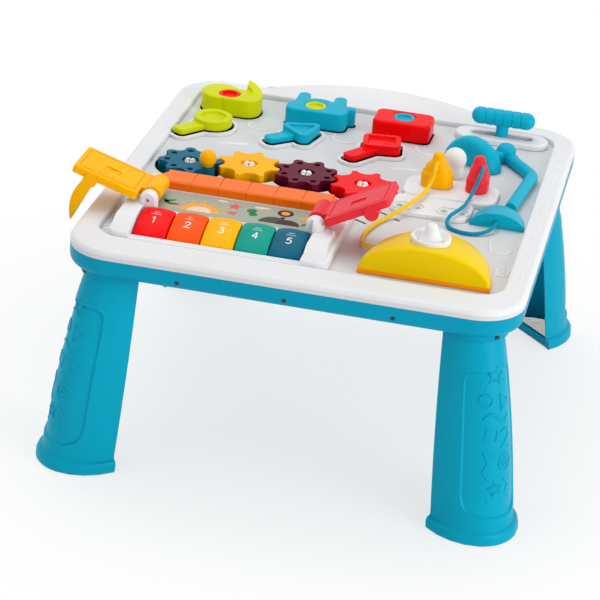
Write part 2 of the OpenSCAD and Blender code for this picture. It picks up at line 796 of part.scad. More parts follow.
module key(i) {
    x0 = keys_x0 + i * key_pitch + key_gap / 2;
    w = key_pitch - key_gap;
    difference() {
        union() {
            key_form(x0, w, 0);
            // hinge hub behind the key, under the housing
            translate([x0 + 4, keys_back - 3, key_bottom_z]) cube([w - 8, 9, 4]);
            translate([x0 + 4, axle_y, axle_z]) rotate([0, 90, 0]) cylinder(r = 3, h = w - 8);
        }
        // hollow under the key
        difference() {
            key_form(x0, w, key_wall);
            translate([x0, keys_back - 6, key_bottom_z - 10]) cube([w, 20, 60]);
        }
        translate([x0 - 1, axle_y, axle_z]) rotate([0, 90, 0])
            cylinder(r = key_axle_r + run_gap, h = w + 2);
    }
    // plunger that presses the contact
    translate([x0 + w / 2, keys_front + 14, key_bottom_z]) cylinder(r = 3, h = 10.5);
}
module key_red() { color([0.93, 0.07, 0.15]) key(0); }
module key_orange() { color([0.98, 0.38, 0.08]) key(1); }
module key_yellow() { color([0.98, 0.72, 0.12]) key(2); }
module key_green() { color([0.07, 0.6, 0.52]) key(3); }
module key_blue() { color([0, 0.42, 0.55]) key(4); }

module key_axle() {
    color("silver") translate([keys_x0 - 7, axle_y, axle_z]) rotate([0, 90, 0])
        cylinder(r = key_axle_r, h = keys_w + 14);
}

board_z = parting_z - 8;
board_t = 1.6;
contact_h = key_bottom_z - board_z - board_t - 4;
module key_contacts() {
    color("dimgray") for (i = [0:4])
        translate([keys_x0 + (i + 0.5) * key_pitch, keys_front + 14, board_z + board_t + E]) {
            cylinder(r = 5, h = contact_h - 2);
            cylinder(r = 3, h = contact_h);
        }
}

module circuit_board() {
    color("darkgreen") difference() {
        union() {
            translate([keys_x0, keys_front + 2, board_z]) cube([keys_w, 30, board_t]);
            translate([keys_x0 + 70, keys_front + 31, board_z]) cube([80, 46, board_t]);
            translate([keys_x0 + 95, keys_front + 50, board_z + board_t - E]) cylinder(r = 7, h = 2);
        }
        for (x = [keys_x0 + 5, keys_x0 + keys_w - 5])
            translate([x, keys_front + 28, board_z - 1]) cylinder(r = 1.6, h = 5);
    }
    // posts that carry the board on the tray
    color("darkgreen") for (x = [keys_x0 + 12, keys_x0 + keys_w - 12])
        translate([x, keys_front + 20, tray_z + wall + seat_gap])
            cylinder(r = 3, h = board_z - tray_z - wall - seat_gap + E);
}

module picture_panel() {
    color([0.65, 0.7, 0.63])
        translate([keys_x0 + 3 + seat_gap, picture_y0 + seat_gap, housing_top - picture_t + 0.1])
            cube([keys_w - 10 - 2 * seat_gap, picture_y1 - picture_y0 - 2 * seat_gap, picture_t]);
}

// light bar: a long cover with a sloped left end, grooved into segments
module light_bar() {
    seg = bar_l / bar_segments;
    color([0.97, 0.48, 0.2]) translate([bar_x0, bar_y0, housing_top + seat_gap]) difference() {
        union() {
            rotate([90, 0, 90]) linear_extrude(bar_l)
                polygon([[0, 0], [0, bar_h - 2.6], [2, bar_h - 0.8], [bar_d - 2, bar_h],
                    [bar_d, bar_h - 1.5], [bar_d, 0]]);
            for (e = [0, 1]) translate([e * bar_l, 0, 0]) mirror([e, 0, 0])
                rotate([90, 0, 0]) translate([0, 0, -bar_d + 1.5 * e]) linear_extrude(bar_d - 1.5 * e)
                    polygon([[-bar_foot, 0], [-bar_foot, 1], [0, bar_h - 2.6], [1, 0]]);
        }
        for (i = [1:bar_segments - 1])
            translate([i * seg, -1, bar_h - 1.4]) cube([0.8, bar_d + 2, 5]);
        for (i = [1:bar_segments - 1])
            translate([i * seg, -1, -1]) cube([0.8, 1.8, bar_h + 2]);
    }
}

// ---------------------------------------------------------------- pages

// a page lying along +X from its hinge at the origin, before it is swung open
module page(long_tab) {
    difference() {
        union() {
            rotate([-90, 0, 0]) cylinder(r = knuckle_r, h = page_w - 19);
            translate([0, 0, -page_t / 2]) cube([page_gap + 4, page_w - 19, page_t]);
            translate([page_gap + (page_l - page_gap) / 2, page_w / 2 - 18, -page_t / 2])
                soft_slab(page_l - page_gap, page_w, 4, page_t, 2);
            if (long_tab) page_tab();
            page_boss(tab_out - 4);
        }
        rotate([-90, 0, 0]) translate([0, 0, -1]) cylinder(r = page_pin_r + run_gap, h = page_w);
        // window of the inner face
        translate([page_l * 0.56, page_w / 2 - 21, page_t / 2 - 1.2]) linear_extrude(2)
            rrect(17, 11, 2);
        // shallow frame on the inner face
        translate([page_gap + (page_l - page_gap) / 2, page_w / 2 - 18, page_t / 2 - 0.8])
            linear_extrude(2) difference() {
                rrect(page_l - page_gap - 9, page_w - 9, 4);
                rrect(page_l - page_gap - 12, page_w - 12, 3);
            }
    }
}

// curved finger tab that hangs from the outer face of a page
tab_out = 66;
tab_l = 52;
tab_bow = 8;
tab_w = 11;
module page_tab() {
    tab_r = (tab_l * tab_l / 4 + tab_bow * tab_bow) / (2 * tab_bow);
    translate([tab_out, -19.5, -page_t / 2 + 1]) rotate([-90, 0, 0]) linear_extrude(tab_w)
        intersection() {
            translate([tab_bow - tab_r, tab_l / 2]) circle(tab_r);
            polygon([[-9, 0], [30, 0], [30, tab_l], [0.6, tab_l]]);
        }
}
module page_boss(at) {
    translate([at, -19.5, -page_t / 2 - 1]) rotate([-90, 0, 0]) cylinder(r = 7.5, h = tab_w + 2);
}

module page_yellow() {
    color([1, 0.72, 0.08]) translate([hinge_left_x, page_y0 + 18.5, hinge_z])
        mirror([1, 0, 0]) rotate([0, -page_left_rise, 0]) page(true);
}
module page_red() {
    color([0.93, 0.25, 0.3]) translate([hinge_right_x, page_y0 + 18.5, hinge_z])
        rotate([0, -page_right_rise, 0]) page(false);
}
module page_pins() {
    color("silver") for (x = [hinge_left_x, hinge_right_x])
        translate([x, page_y1 + 6.5, hinge_z]) rotate([90, 0, 0]) cylinder(r = page_pin_r, h = page_w);
}

// ---------------------------------------------------------------- gears

// round lobes with hollows between them, or pointed teeth
module gear_2d(pointed) {
    valley_r = pointed ? 11.4 : 7.8;
    valley_at = pointed ? 37.9 : 34.4;
    difference() {
        circle(pointed ? gear_r : 31.4);
        for (i = [0:lobes - 1]) rotate((i + 0.5) * 360 / lobes) translate([valley_at, 0]) circle(valley_r);
    }
    if (!pointed) for (i = [0:lobes - 1]) rotate(i * 360 / lobes) translate([gear_r - 5.6, 0]) circle(5.6);
}
module gear(i, phase) {
    pointed = i == 1 || i == 3;
    translate([gear_hubs[i][0], gear_hubs[i][1], gear_z]) difference() {
        linear_extrude(gear_t) rotate(phase) gear_2d(pointed);
        translate([0, 0, -1]) cylinder(r = stud_r + run_gap, h = gear_t + 2);
        translate([0, 0, gear_t - 3]) cylinder(r = 9, h = 5);
        if (i == 0) translate([crank_r * cos(crank_turn), crank_r * sin(crank_turn), gear_t - 8])
            cylinder(r = 3 + run_gap, h = 10);
        if (!pointed) for (k = [0:lobes - 1])
            if (i > 0 || abs(phase + k * 360 / lobes - 360 - crank_turn) > 30) rotate(phase + k * 360 / lobes)
                translate([25, 0, gear_t - 2.5]) cylinder(r = 3.4, h = 4);
    }
}
// each gear is turned so that its lobe faces a gap of the gear before it
phase_1 = gear_turn[0];
phase_2 = gear_turn[0] + 180 + half_lobe;
phase_3 = gear_turn[1] + 180 + half_lobe - (phase_2 - gear_turn[1]);
phase_4 = gear_turn[2] + 180 + half_lobe - (phase_3 - gear_turn[2]);
module gear_teal() { color([0, 0.5, 0.6]) gear(0, phase_1); }
module gear_yellow() { color([0.98, 0.68, 0.1]) gear(1, phase_2); }
module gear_maroon() { color([0.4, 0.08, 0.22]) gear(2, phase_3); }
module gear_red() { color([0.93, 0.08, 0.18]) gear(3, phase_4); }

module crank_knob() {
    color([1, 0.72, 0.05])
        translate([gear_hubs[0][0] + crank_r * cos(crank_turn),
            gear_hubs[0][1] + crank_r * sin(crank_turn), gear_top]) {
            translate([0, 0, -7.5]) cylinder(r = 3, h = 9);
            translate([0, 0, seat_gap]) rotate_extrude() intersection() {
                union() {
                    square([6, 6]);
                    translate([0, 9]) scale(1) circle(9.3);
                }
                square([10, 18]);
            }
        }
}

module gear_studs() {
    color("white") for (h = gear_hubs) translate([h[0], h[1], pocket_z]) difference() {
        union() {
            cylinder(r = stud_r, h = gear_t - 2);
            translate([0, 0, gear_t - 2]) cylinder(r = 6, h = 1.2);
            for (s = [-1, 1]) translate([s * 2.6, 0, gear_t - 0.8]) intersection() {
                sphere(3.2);
                translate([-5, -5, -0.1]) cube([10, 10, 6]);
            }
        }
        translate([-0.6, -8, gear_t - 8]) cube([1.2, 16, 14]);
    }
}

// ---------------------------------------------------------------- figures and paddles

module figure_stem(i) {
    translate([figure_x[i], figure_y - 2, arm_top + seat_gap])
        cylinder(r = 5, h = figure_z0 - arm_top + 1);
}
module insert_seat(i, dx, dy) {
    translate([figure_x[i] + dx, figure_y + dy, figure_z0 + figure_h - 5]) cylinder(r = insert_r + 1.6, h = 20);
}
insert_at = [[-2, -4], [-2, -2], [0, 2]];

// the room inside a figure, open at the bottom, with the stem and the insert seat left in
module figure_room(i) {
    translate([0, 0, figure_z0 - 1]) difference() {
        linear_extrude(figure_h - figure_wall + 1) at_figure(i) children();
        translate([figure_x[i], figure_y - 2, -1]) cylinder(r = 5, h = 60);
        translate([figure_x[i] + insert_at[i][0], figure_y + insert_at[i][1], figure_h - 7.5])
            cylinder(r = insert_r + 1.6 + figure_wall, h = 20);
    }
}
module figure_snail() {
    color([0.76, 0.83, 0.05]) difference() {
        union() {
            translate([0, 0, figure_z0]) linear_extrude(figure_h) at_figure(0) snail_2d();
            // tail: a curved fin that falls to the front
            intersection() {
                translate([0, 0, figure_z0 + figure_h - 1]) linear_extrude(12) at_figure(0) snail_tail_2d();
                translate([figure_x[0] + 9, figure_y, figure_z0 + figure_h]) rotate([14, 12, 0])
                    translate([-40, -60, -20]) cube([80, 120, 23.5]);
            }
            figure_stem(0);
        }
        figure_room(0) snail_2d(-figure_wall);
        insert_seat(0, insert_at[0][0], insert_at[0][1]);
    }
}
module figure_plane() {
    color([0.12, 0.7, 0.84]) difference() {
        union() {
            translate([0, 0, figure_z0]) linear_extrude(figure_h) at_figure(1) plane_2d();
            figure_stem(1);
        }
        figure_room(1) plane_2d(-figure_wall);
        insert_seat(1, insert_at[1][0], insert_at[1][1]);
    }
}
module figure_camera() {
    color([0.92, 0.08, 0.08]) difference() {
        union() {
            translate([figure_x[2], figure_y, figure_z0]) soft_slab(66, 42, 8, figure_h, 3);
            figure_stem(2);
        }
        figure_room(2) camera_2d(-figure_wall);
        insert_seat(2, insert_at[2][0], insert_at[2][1]);
    }
}
module insert(i) {
    translate([figure_x[i] + insert_at[i][0], figure_y + insert_at[i][1], figure_z0 + figure_h - 5 + 0.05])
        difference() {
            cylinder(r = insert_r + 1.5, h = 4.4);
            translate([0, 0, 2]) cylinder(r = insert_r - 2.5, h = 5);
        }
}
module insert_red() { color([0.85, 0.05, 0.05]) insert(0); }
module insert_green() { color([0.75, 0.82, 0.1]) insert(1); }
module insert_blue() { color([0.1, 0.65, 0.8]) insert(2); }

arm_top = rocker_z + 3;
// rocker under the deck: hub on the pin, one arm under the figure, one under the paddle
module rocker(i) {
    x = figure_x[i];
    difference() {
        union() {
            translate([x - ear_x + ear_t, rocker_y, rocker_z]) rotate([0, 90, 0])
                cylinder(r = 4, h = 2 * (ear_x - ear_t));
            translate([x - 5, paddle_y - 8, rocker_z - 2]) cube([10, rocker_y - paddle_y + 8, 5]);
            translate([x - 5, rocker_y, rocker_z - 2]) cube([10, figure_y - rocker_y + 2, 5]);
            translate([x - 5, paddle_y - 8, rocker_z - 2])
                cube([10, stem_w, paddle_z - rocker_z + 3]);
        }
        translate([x - 20, rocker_y, rocker_z]) rotate([0, 90, 0])
            cylinder(r = pin_r + run_gap, h = 40);
    }
}
module paddle_round() {
    color([0.8, 0.85, 0.08]) {
        paddle(0) {
            round_head_2d();
            circle(14);
            round_grip_2d();
        }
        rocker(0);
    }
}
module paddle_triangle() {
    color([0.12, 0.7, 0.84]) {
        paddle(1) {
            triangle_head_2d();
            triangle_head_2d(-6);
            triangle_grip_2d();
        }
        rocker(1);
    }
}
module paddle_square() {
    color([0.92, 0.06, 0.06]) {
        paddle(2) {
            square_head_2d();
            square_head_2d(-6);
            square_grip_2d();
        }
        rocker(2);
    }
}
module paddle(i) {
    translate([0, 0, paddle_z]) {
        difference() {
            linear_extrude(paddle_t) at_paddle(i) children(0);
            translate([0, 0, paddle_t - 3]) linear_extrude(5) at_paddle(i) children(1);
        }
        linear_extrude(paddle_grip_t) at_paddle(i) children(2);
    }
}
module paddle_pins() {
    color("silver") for (x = figure_x)
        translate([x - ear_x - ear_t, rocker_y, rocker_z]) rotate([0, 90, 0])
            cylinder(r = pin_r, h = 2 * (ear_x + ear_t));
}

// ---------------------------------------------------------------- slide handle

module slide_handle() {
    groove_n = 5;
    color([0.08, 0.66, 0.78]) translate([slide_x, slide_y, 0]) {
        difference() {
            union() {
                translate([-grip_l / 2 + grip_r, 0, grip_z]) rotate([0, 90, 0])
                    cylinder(r = grip_r, h = grip_l - 2 * grip_r);
                for (s = [-1, 1]) translate([s * (grip_l / 2 - grip_r), 0, grip_z]) sphere(grip_r);
            }
            for (i = [0:groove_n - 1])
                translate([(i - (groove_n - 1) / 2) * 10, 0, grip_z]) rotate([0, 90, 0])
                    rotate_extrude() translate([grip_r + 0.5, 0]) circle(1.2, $fn = 24);
        }
        translate([0, 0, slide_z + seat_gap]) cylinder(r = stem_r, h = grip_z - slide_z - 3);
        translate([0, 0, floor_under_z - 4]) cylinder(r = slot_w / 2 - 0.6, h = slide_z - floor_under_z + 5);
        translate([0, 0, floor_under_z - 4]) cylinder(r = 8, h = 4 - seat_gap);
    }
}
module slide_track() {
    color("white") translate([slide_x, slide_y, floor_z + seat_gap]) difference() {
        soft_slab(106, 33, 16, slide_z - floor_z - seat_gap, 3);
        translate([0, 0, -1]) linear_extrude(20) stadium(2 * handle_way + slot_w + 4, slot_w);
    }
}

// ---------------------------------------------------------------- lamp

module lamp_shade() {
    color([0.12, 0.68, 0.8]) {
        translate([shade_x, shade_y, floor_z + seat_gap]) rotate(shade_turn) difference() {
            translate([0, 0, -shade_sunk]) sphere(shade_r, $fn = 128);
            translate([0, 0, -shade_sunk]) sphere(shade_r - 4, $fn = 128);
            translate([-50, -50, -100]) cube([100, 100, 100]);
            translate([-50, -50, -1]) cube([50, 100, 60]);
        }
        // joint of the arm
        translate([joint_x, joint_y, floor_z + seat_gap]) {
            cylinder(r = joint_r, h = joint_h - 3);
            cylinder(r = joint_r - 3, h = joint_h);
            translate([0, 0, joint_h - 3]) rotate_extrude() translate([joint_r - 3, 0]) circle(3);
        }
        translate([joint_x, joint_y, floor_z + seat_gap]) rotate(225) translate([2, -7, 0])
            cube([joint_r + 6, 14, 13]);
    }
}
module lamp_bulb() {
    color("white") translate([bulb_x, bulb_y, floor_z + seat_gap]) rotate_extrude() intersection() {
        union() {
            translate([0, 19]) circle(bulb_r);
            translate([0, 2]) square([bulb_r - 2.5, 14]);
            translate([0, 0]) square([bulb_r - 1, 3]);
        }
        square([40, 40]);
    }
}

// arm: two straight runs and a round elbow
arm_in = [joint_x + joint_r * 0.6, joint_y - joint_r * 0.8];
arm_out = [lamp_base_x + 8, lamp_base_y + lamp_base_d - 12];
module arm_run(a, b) {
    l = norm(b - a);
    translate([a[0], a[1], arm_z]) rotate(atan2(b[1] - a[1], b[0] - a[0])) rotate([0, 90, 0])
        cylinder(r = arm_r, h = l);
}
arm_dir = atan2(elbow_y - joint_y, elbow_x - joint_x);
arm_start = [joint_x + (joint_r + seat_gap) * cos(arm_dir), joint_y + (joint_r + seat_gap) * sin(arm_dir)];
arm_out_dir = atan2(arm_out[1] - elbow_y, arm_out[0] - elbow_x);
arm_end = arm_out + [cos(arm_out_dir), sin(arm_out_dir)] * 0.25;
// the bend: its ends lie on the two runs, as far from the corner as the bend needs
bend_turn = arm_out_dir - arm_dir;
bend_cut = elbow_r * tan(abs(bend_turn) / 2);
bend_from = [elbow_x - bend_cut * cos(arm_dir), elbow_y - bend_cut * sin(arm_dir)];
bend_mid = bend_from + elbow_r * [sin(arm_dir), -cos(arm_dir)];
arm_path = concat([[arm_start[0], arm_start[1], arm_z]],
    [for (i = [0:8]) let (a = arm_dir + 90 + bend_turn * i / 8)
        [bend_mid[0] + elbow_r * cos(a), bend_mid[1] + elbow_r * sin(a), arm_z]],
    [[arm_end[0], arm_end[1], arm_z]]);
module lamp_arm() {
    color([0.05, 0.62, 0.76]) tube_along(arm_path, 2 * arm_r, 20);
}

// dome cut flat at the front: a half-ellipse in plan and in front view
module half_dome(a, d, h) {
    around = 24;
    up = 7;
    points = concat(
        [for (j = [0:up - 1], i = [0:around])
            let (u = 180 * i / around, v = 90 * j / up)
            [a * cos(u) * cos(v), d * sin(u) * cos(v), h * sin(v)]],
        [[0, 0, h]]);
    n = around + 1;
    top = up * n;
    faces = concat(
        [for (j = [0:up - 2], i = [0:around - 1])
            [j * n + i, (j + 1) * n + i, (j + 1) * n + i + 1, j * n + i + 1]],
        [for (i = [0:around - 1]) [(up - 1) * n + i, top, (up - 1) * n + i + 1]],
        [[for (i = [0:around]) i]],
        [concat([for (j = [0:up - 1]) j * n], [top], [for (j = [up - 1:-1:0]) j * n + around])]);
    polyhedron(points, [for (f = faces) [for (k = [len(f) - 1:-1:0]) f[k]]], convexity = 4);
}

module lamp_base() {
    color([0.05, 0.64, 0.77]) difference() {
        translate([lamp_base_x, lamp_base_y, floor_z + seat_gap])
            half_dome(lamp_base_a, lamp_base_d, lamp_base_h);
        arm_run([elbow_x, elbow_y], arm_out_deep);
    }
}
arm_out_deep = arm_out + [cos(arm_out_dir), sin(arm_out_dir)] * 0.3;

// ---------------------------------------------------------------- plugs

module prong_holes(p, z, turn, r) {
    translate([p[0], p[1], z - 4]) rotate(turn) for (s = [-1, 1])
        translate([s * prong_reach, 0, 0]) cylinder(r = r, h = 12);
}
module socket_block() {
    h = socket_z - floor_z - seat_gap;
    color("white") difference() {
        union() {
            translate([plug_left[0] + 17, 31, floor_z + seat_gap]) soft_slab(102, 54, 15, h, 3);
            translate([socket_left[0] + 23, -16, floor_z + seat_gap])
                soft_slab(86, 50, 16, h - socket_step, 2);
            for (p = [socket_left, socket_right]) translate([p[0], p[1], socket_z - socket_step - E])
                linear_extrude(1.2) difference() {
                    stadium(36, 19);
                    stadium(33, 16);
                }
        }
        prong_holes(plug_left, socket_z, 0, prong_r + 0.4);
        prong_holes(plug_right, socket_z, 90, prong_r + 0.4);
        prong_holes(socket_left, socket_z - socket_step, 0, prong_r + 1.4);
        prong_holes(socket_right, socket_z - socket_step, 0, prong_r + 1.4);
    }
}
// plug: two tiers with soft edges and a round tip
module plug(p, turn) {
    tip_r = 5.5;
    translate([p[0], p[1], socket_z + seat_gap]) {
        rotate(turn) {
            soft_slab(plug_long, plug_short, 11.5, plug_tiers[0], 4);
            soft_slab(plug_long - 11, plug_short - 6, 8.5, plug_tiers[1], 5);
            for (s = [-1, 1]) translate([s * prong_reach, 0, -prong_l])
                cylinder(r = prong_r, h = prong_l + 1);
        }
        cylinder(r = tip_r, h = plug_h);
        translate([0, 0, plug_h]) sphere(tip_r);
    }
}
module plug_orange() { color([1, 0.66, 0.03]) plug(plug_left, 0); }
module plug_red() { color([0.95, 0.25, 0.28]) plug(plug_right, 90); }

module cord_yellow() { color([0.92, 0.78, 0.2]) tube_along(cord_yellow_path, cord_yellow_d, 8); }
module cord_blue() { color([0.1, 0.55, 0.68]) tube_along(cord_blue_path, cord_blue_d, 8); }

// ---------------------------------------------------------------- iron

module iron_sole() {
    color([1, 0.55, 0.05]) translate([iron_x, iron_front - 0.6, iron_z]) linear_extrude(sole_t)
        polygon([for (i = [0:36]) [(iron_a + 0.6) * cos(5 * i), (iron_d + 0.6) * sin(5 * i)]]);
}
module iron_body() {
    color([0.93, 0.8, 0.08]) difference() {
        translate([iron_x, iron_front, iron_z + sole_t + 0.05]) half_dome(iron_a, iron_d, iron_h - sole_t);
        translate([dial_x, dial_y, dial_z]) cylinder(r = dial_r + seat_gap, h = 40);
    }
}
module dial_dish() {
    color("white") translate([dial_x, dial_y, dial_z + 0.05]) difference() {
        union() {
            cylinder(r = dial_r, h = 10);
        }
        translate([0, 0, 3]) rotate_extrude() polygon([[0, 0], [11, 0], [dial_r - 2, 7.01], [dial_r - 2, 20], [0, 20]]);
        translate([0, 0, -1]) cylinder(r = 3 + run_gap, h = 8);
    }
}
module dial_knob() {
    color("white") translate([dial_x, dial_y, dial_z + 3.4]) {
        rotate_extrude() polygon([[0, 0], [11, 0], [12.5, 1.5], [12.5, 3], [10.4, 5.5], [8.2, 9],
            [6.8, 13], [5.8, 17], [4, 19.2], [0, 20]]);
        translate([0, 0, -3]) cylinder(r = 3, h = 4);
    }
}

// ---------------------------------------------------------------- inside and underneath

module speaker() {
    color("dimgray") translate([60, -55, tray_z + wall + seat_gap]) {
        cylinder(r = 13, h = 8);
        translate([0, 0, 7.9]) rotate_extrude() polygon([[0, 0], [13, 0], [22, 7], [22, 10], [20, 10],
            [19, 7.5], [0, 4]]);
    }
}
module battery_cover() {
    color([0, 0.58, 0.7]) translate([battery_x, battery_y, tray_z + 0.05]) difference() {
        union() {
            linear_extrude(cover_t)
                square([battery_w - 2 * seat_gap, battery_d - 2 * seat_gap], center = true);
        }
        for (i = [-2:2]) translate([i * 8 - 1, -battery_d / 2 + 8, -1]) cube([2, 12, 1.8]);
        translate([0, battery_d / 2 - 7, -1]) cylinder(r = 2.6, h = 2);
    }
}
module battery_cells() {
    color("gray") for (i = [-1:1])
        translate([battery_x - cell_l / 2, battery_y + i * (2 * cell_r + 1), tray_z + cover_t + cell_r + 0.3])
            rotate([0, 90, 0]) {
                cylinder(r = cell_r, h = cell_l - 1.5);
                translate([0, 0, cell_l - 1.6]) cylinder(r = 2.6, h = 1.6);
            }
}
module power_switch() {
    color("dimgray") translate([switch_x, battery_y, tray_z - 1.2]) {
        translate([-2.5, -2.4, 0]) cube([5, 4.8, 5]);
        translate([-5, -5, 1.2 + wall + seat_gap]) cube([10, 10, 3]);
    }
}

top_panel();
bottom_tray();
leg_front_left();
leg_front_right();
leg_back_left();
leg_back_right();
tray_screws();
leg_screws();
keyboard_housing();
key_red();
key_orange();
key_yellow();
key_green();
key_blue();
key_axle();
key_contacts();
picture_panel();
light_bar();
page_yellow();
page_red();
page_pins();
gear_teal();
gear_yellow();
gear_maroon();
gear_red();
crank_knob();
gear_studs();
figure_snail();
figure_plane();
figure_camera();
insert_red();
insert_green();
insert_blue();
paddle_round();
paddle_triangle();
paddle_square();
paddle_pins();
slide_handle();
slide_track();
lamp_shade();
lamp_bulb();
lamp_arm();
lamp_base();
socket_block();
plug_orange();
plug_red();
cord_yellow();
cord_blue();
iron_body();
iron_sole();
dial_dish();
dial_knob();
speaker();
circuit_board();
battery_cover();
battery_cells();
power_switch();
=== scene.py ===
"""Studio scene of the musical activity table: materials, moulded edges, prints and reliefs."""
import bpy
import bmesh
import math
from mathutils import Matrix, Vector
from mathutils.bvhtree import BVHTree


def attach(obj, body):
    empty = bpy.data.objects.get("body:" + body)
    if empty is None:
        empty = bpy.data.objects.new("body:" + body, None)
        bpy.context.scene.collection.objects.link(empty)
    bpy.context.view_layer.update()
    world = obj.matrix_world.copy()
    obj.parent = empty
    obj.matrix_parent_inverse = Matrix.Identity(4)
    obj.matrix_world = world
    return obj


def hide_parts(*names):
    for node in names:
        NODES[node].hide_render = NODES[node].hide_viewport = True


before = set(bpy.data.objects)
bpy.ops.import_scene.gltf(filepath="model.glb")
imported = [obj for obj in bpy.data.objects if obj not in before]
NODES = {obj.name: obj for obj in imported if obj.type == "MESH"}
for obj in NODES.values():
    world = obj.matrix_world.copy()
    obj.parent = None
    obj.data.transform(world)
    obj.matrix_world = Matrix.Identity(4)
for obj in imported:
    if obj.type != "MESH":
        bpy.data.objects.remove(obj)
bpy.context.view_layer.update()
MM = 0.001

# ------------------------------------------------------------------ camera

CAMERA_AT = (0.39778, -2.30016, 1.23489)
CAMERA_AIM = (-0.02361, -0.04027, 0.12346)
CAMERA_ROLL = 4.575
CAMERA_LENS = 143.04


def make_camera():
    """Long lens that looks down at the table from the front, slightly rolled."""
    data = bpy.data.cameras.new("studio_camera")
    data.lens = CAMERA_LENS
    data.sensor_width = 36
    data.clip_end = 20
    camera = bpy.data.objects.new("studio_camera", data)
    bpy.context.scene.collection.objects.link(camera)
    way = Vector(CAMERA_AIM) - Vector(CAMERA_AT)
    turn = way.to_track_quat("-Z", "Y").to_matrix().to_4x4()
    roll = Matrix.Rotation(math.radians(CAMERA_ROLL), 4, "Z")
    camera.matrix_world = Matrix.Translation(CAMERA_AT) @ turn @ roll
    bpy.context.scene.camera = camera


make_camera()

# ------------------------------------------------------------------ plain helpers


def srgb(r, g, b):
    """A colour given as 0 to 255, as the linear numbers that shaders use."""
    def one(v):
        v = v / 255
        return v / 12.92 if v <= 0.04045 else ((v + 0.055) / 1.055) ** 2.4
    return (one(r), one(g), one(b), 1.0)


def link_piece(name, mesh, body, material):
    """A piece that rides on a body, with its finish."""
    piece = bpy.data.objects.new(name, mesh)
    bpy.context.scene.collection.objects.link(piece)
    mesh.materials.clear()
    mesh.materials.append(material)
    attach(piece, body)
    return piece


def to_mesh(bm, name):
    """Ends a bmesh as a mesh of that name."""
    mesh = bpy.data.meshes.new(name)
    bm.to_mesh(mesh)
    bm.free()
    return mesh


def smooth_by_angle(mesh, degrees):
    """Smooth faces, with edges sharper than the angle kept crisp."""
    bm = bmesh.new()
    bm.from_mesh(mesh)
    for face in bm.faces:
        face.smooth = True
    for edge in bm.edges:
        edge.smooth = edge.calc_face_angle(0) < math.radians(degrees)
    bm.to_mesh(mesh)
    bm.free()


# ------------------------------------------------------------------ materials


def node_tree(name):
    """A new material, its nodes and its main shader."""
    material = bpy.data.materials.new(name)
    material.use_nodes = True
    tree = material.node_tree
    shader = tree.nodes["Principled BSDF"]
    return material, tree, shader


def noise(tree, where, scale, detail=3.0, roughness=0.5):
    """Cloudy values, finer with a larger scale."""
    texture = tree.nodes.new("ShaderNodeTexNoise")
    texture.inputs["Scale"].default_value = scale
    texture.inputs["Detail"].default_value = detail
    texture.inputs["Roughness"].default_value = roughness
    tree.links.new(where, texture.inputs["Vector"])
    return texture.outputs["Fac"]


NOISE_BAND = (0.3, 0.7)


def spread(tree, value, low, high):
    """Remaps a noise value from its usual middle band to low..high."""
    node = tree.nodes.new("ShaderNodeMapRange")
    node.inputs["From Min"].default_value = NOISE_BAND[0]
    node.inputs["From Max"].default_value = NOISE_BAND[1]
    node.inputs["To Min"].default_value = low
    node.inputs["To Max"].default_value = high
    tree.links.new(value, node.inputs["Value"])
    return node.outputs["Result"]


def two_tones(tree, factor, dark, light):
    """The first colour where the factor is 0, the second where it is 1."""
    mix = tree.nodes.new("ShaderNodeMix")
    mix.data_type = "RGBA"
    mix.inputs["A"].default_value = dark
    mix.inputs["B"].default_value = light
    tree.links.new(factor, mix.inputs["Factor"])
    return mix.outputs["Result"]


def shade(colour, factor):
    """The colour made darker, or lighter above 1."""
    return (colour[0] * factor, colour[1] * factor, colour[2] * factor, 1.0)


SHINE = 0.08
PLASTIC_IOR = 1.49
GRAIN_DEPTH = 0.2 * MM


def moulded(name, colour, gloss=0.32, grain=0.012, tone=0.05):
    """Injection-moulded plastic: faint flow tones, a fine spark-eroded grain, uneven gloss."""
    material, tree, shader = node_tree(name)
    place = tree.nodes.new("ShaderNodeTexCoord").outputs["Object"]
    flow = noise(tree, place, scale=9, detail=4)
    tones = spread(tree, flow, 0.0, 1.0)
    colours = two_tones(tree, tones, shade(colour, 1 - tone), shade(colour, 1 + tone * 0.6))
    tree.links.new(colours, shader.inputs["Base Color"])
    patches = noise(tree, place, scale=38, detail=5, roughness=0.6)
    tree.links.new(spread(tree, patches, gloss - 0.05, gloss + 0.07), shader.inputs["Roughness"])
    fine = noise(tree, place, scale=1500, detail=2)
    bump = tree.nodes.new("ShaderNodeBump")
    bump.inputs["Strength"].default_value = grain * 8
    bump.inputs["Distance"].default_value = GRAIN_DEPTH
    tree.links.new(fine, bump.inputs["Height"])
    tree.links.new(bump.outputs["Normal"], shader.inputs["Normal"])
    shader.inputs["IOR"].default_value = PLASTIC_IOR
    shader.inputs["Specular IOR Level"].default_value = SHINE
    return material


def banded(name, low_colour, high_colour, split_z, width, gloss=0.34):
    """Moulded plastic with one tone below a height and another above it, used for a painted highlight
    on a lit top.
    """
    material = moulded(name, high_colour, gloss)
    tree = material.node_tree
    shader = tree.nodes["Principled BSDF"]
    above = shader.inputs["Base Color"].links[0].from_socket
    place = tree.nodes.new("ShaderNodeTexCoord").outputs["Object"]
    split = tree.nodes.new("ShaderNodeSeparateXYZ")
    tree.links.new(place, split.inputs["Vector"])
    step = tree.nodes.new("ShaderNodeMapRange")
    step.inputs["From Min"].default_value = (split_z - width / 2) * MM
    step.inputs["From Max"].default_value = (split_z + width / 2) * MM
    tree.links.new(split.outputs["Z"], step.inputs["Value"])
    both = two_tones(tree, step.outputs["Result"], low_colour, high_colour)
    tree.links.new(above, both.node.inputs["B"])
    tree.links.new(both, shader.inputs["Base Color"])
    return material


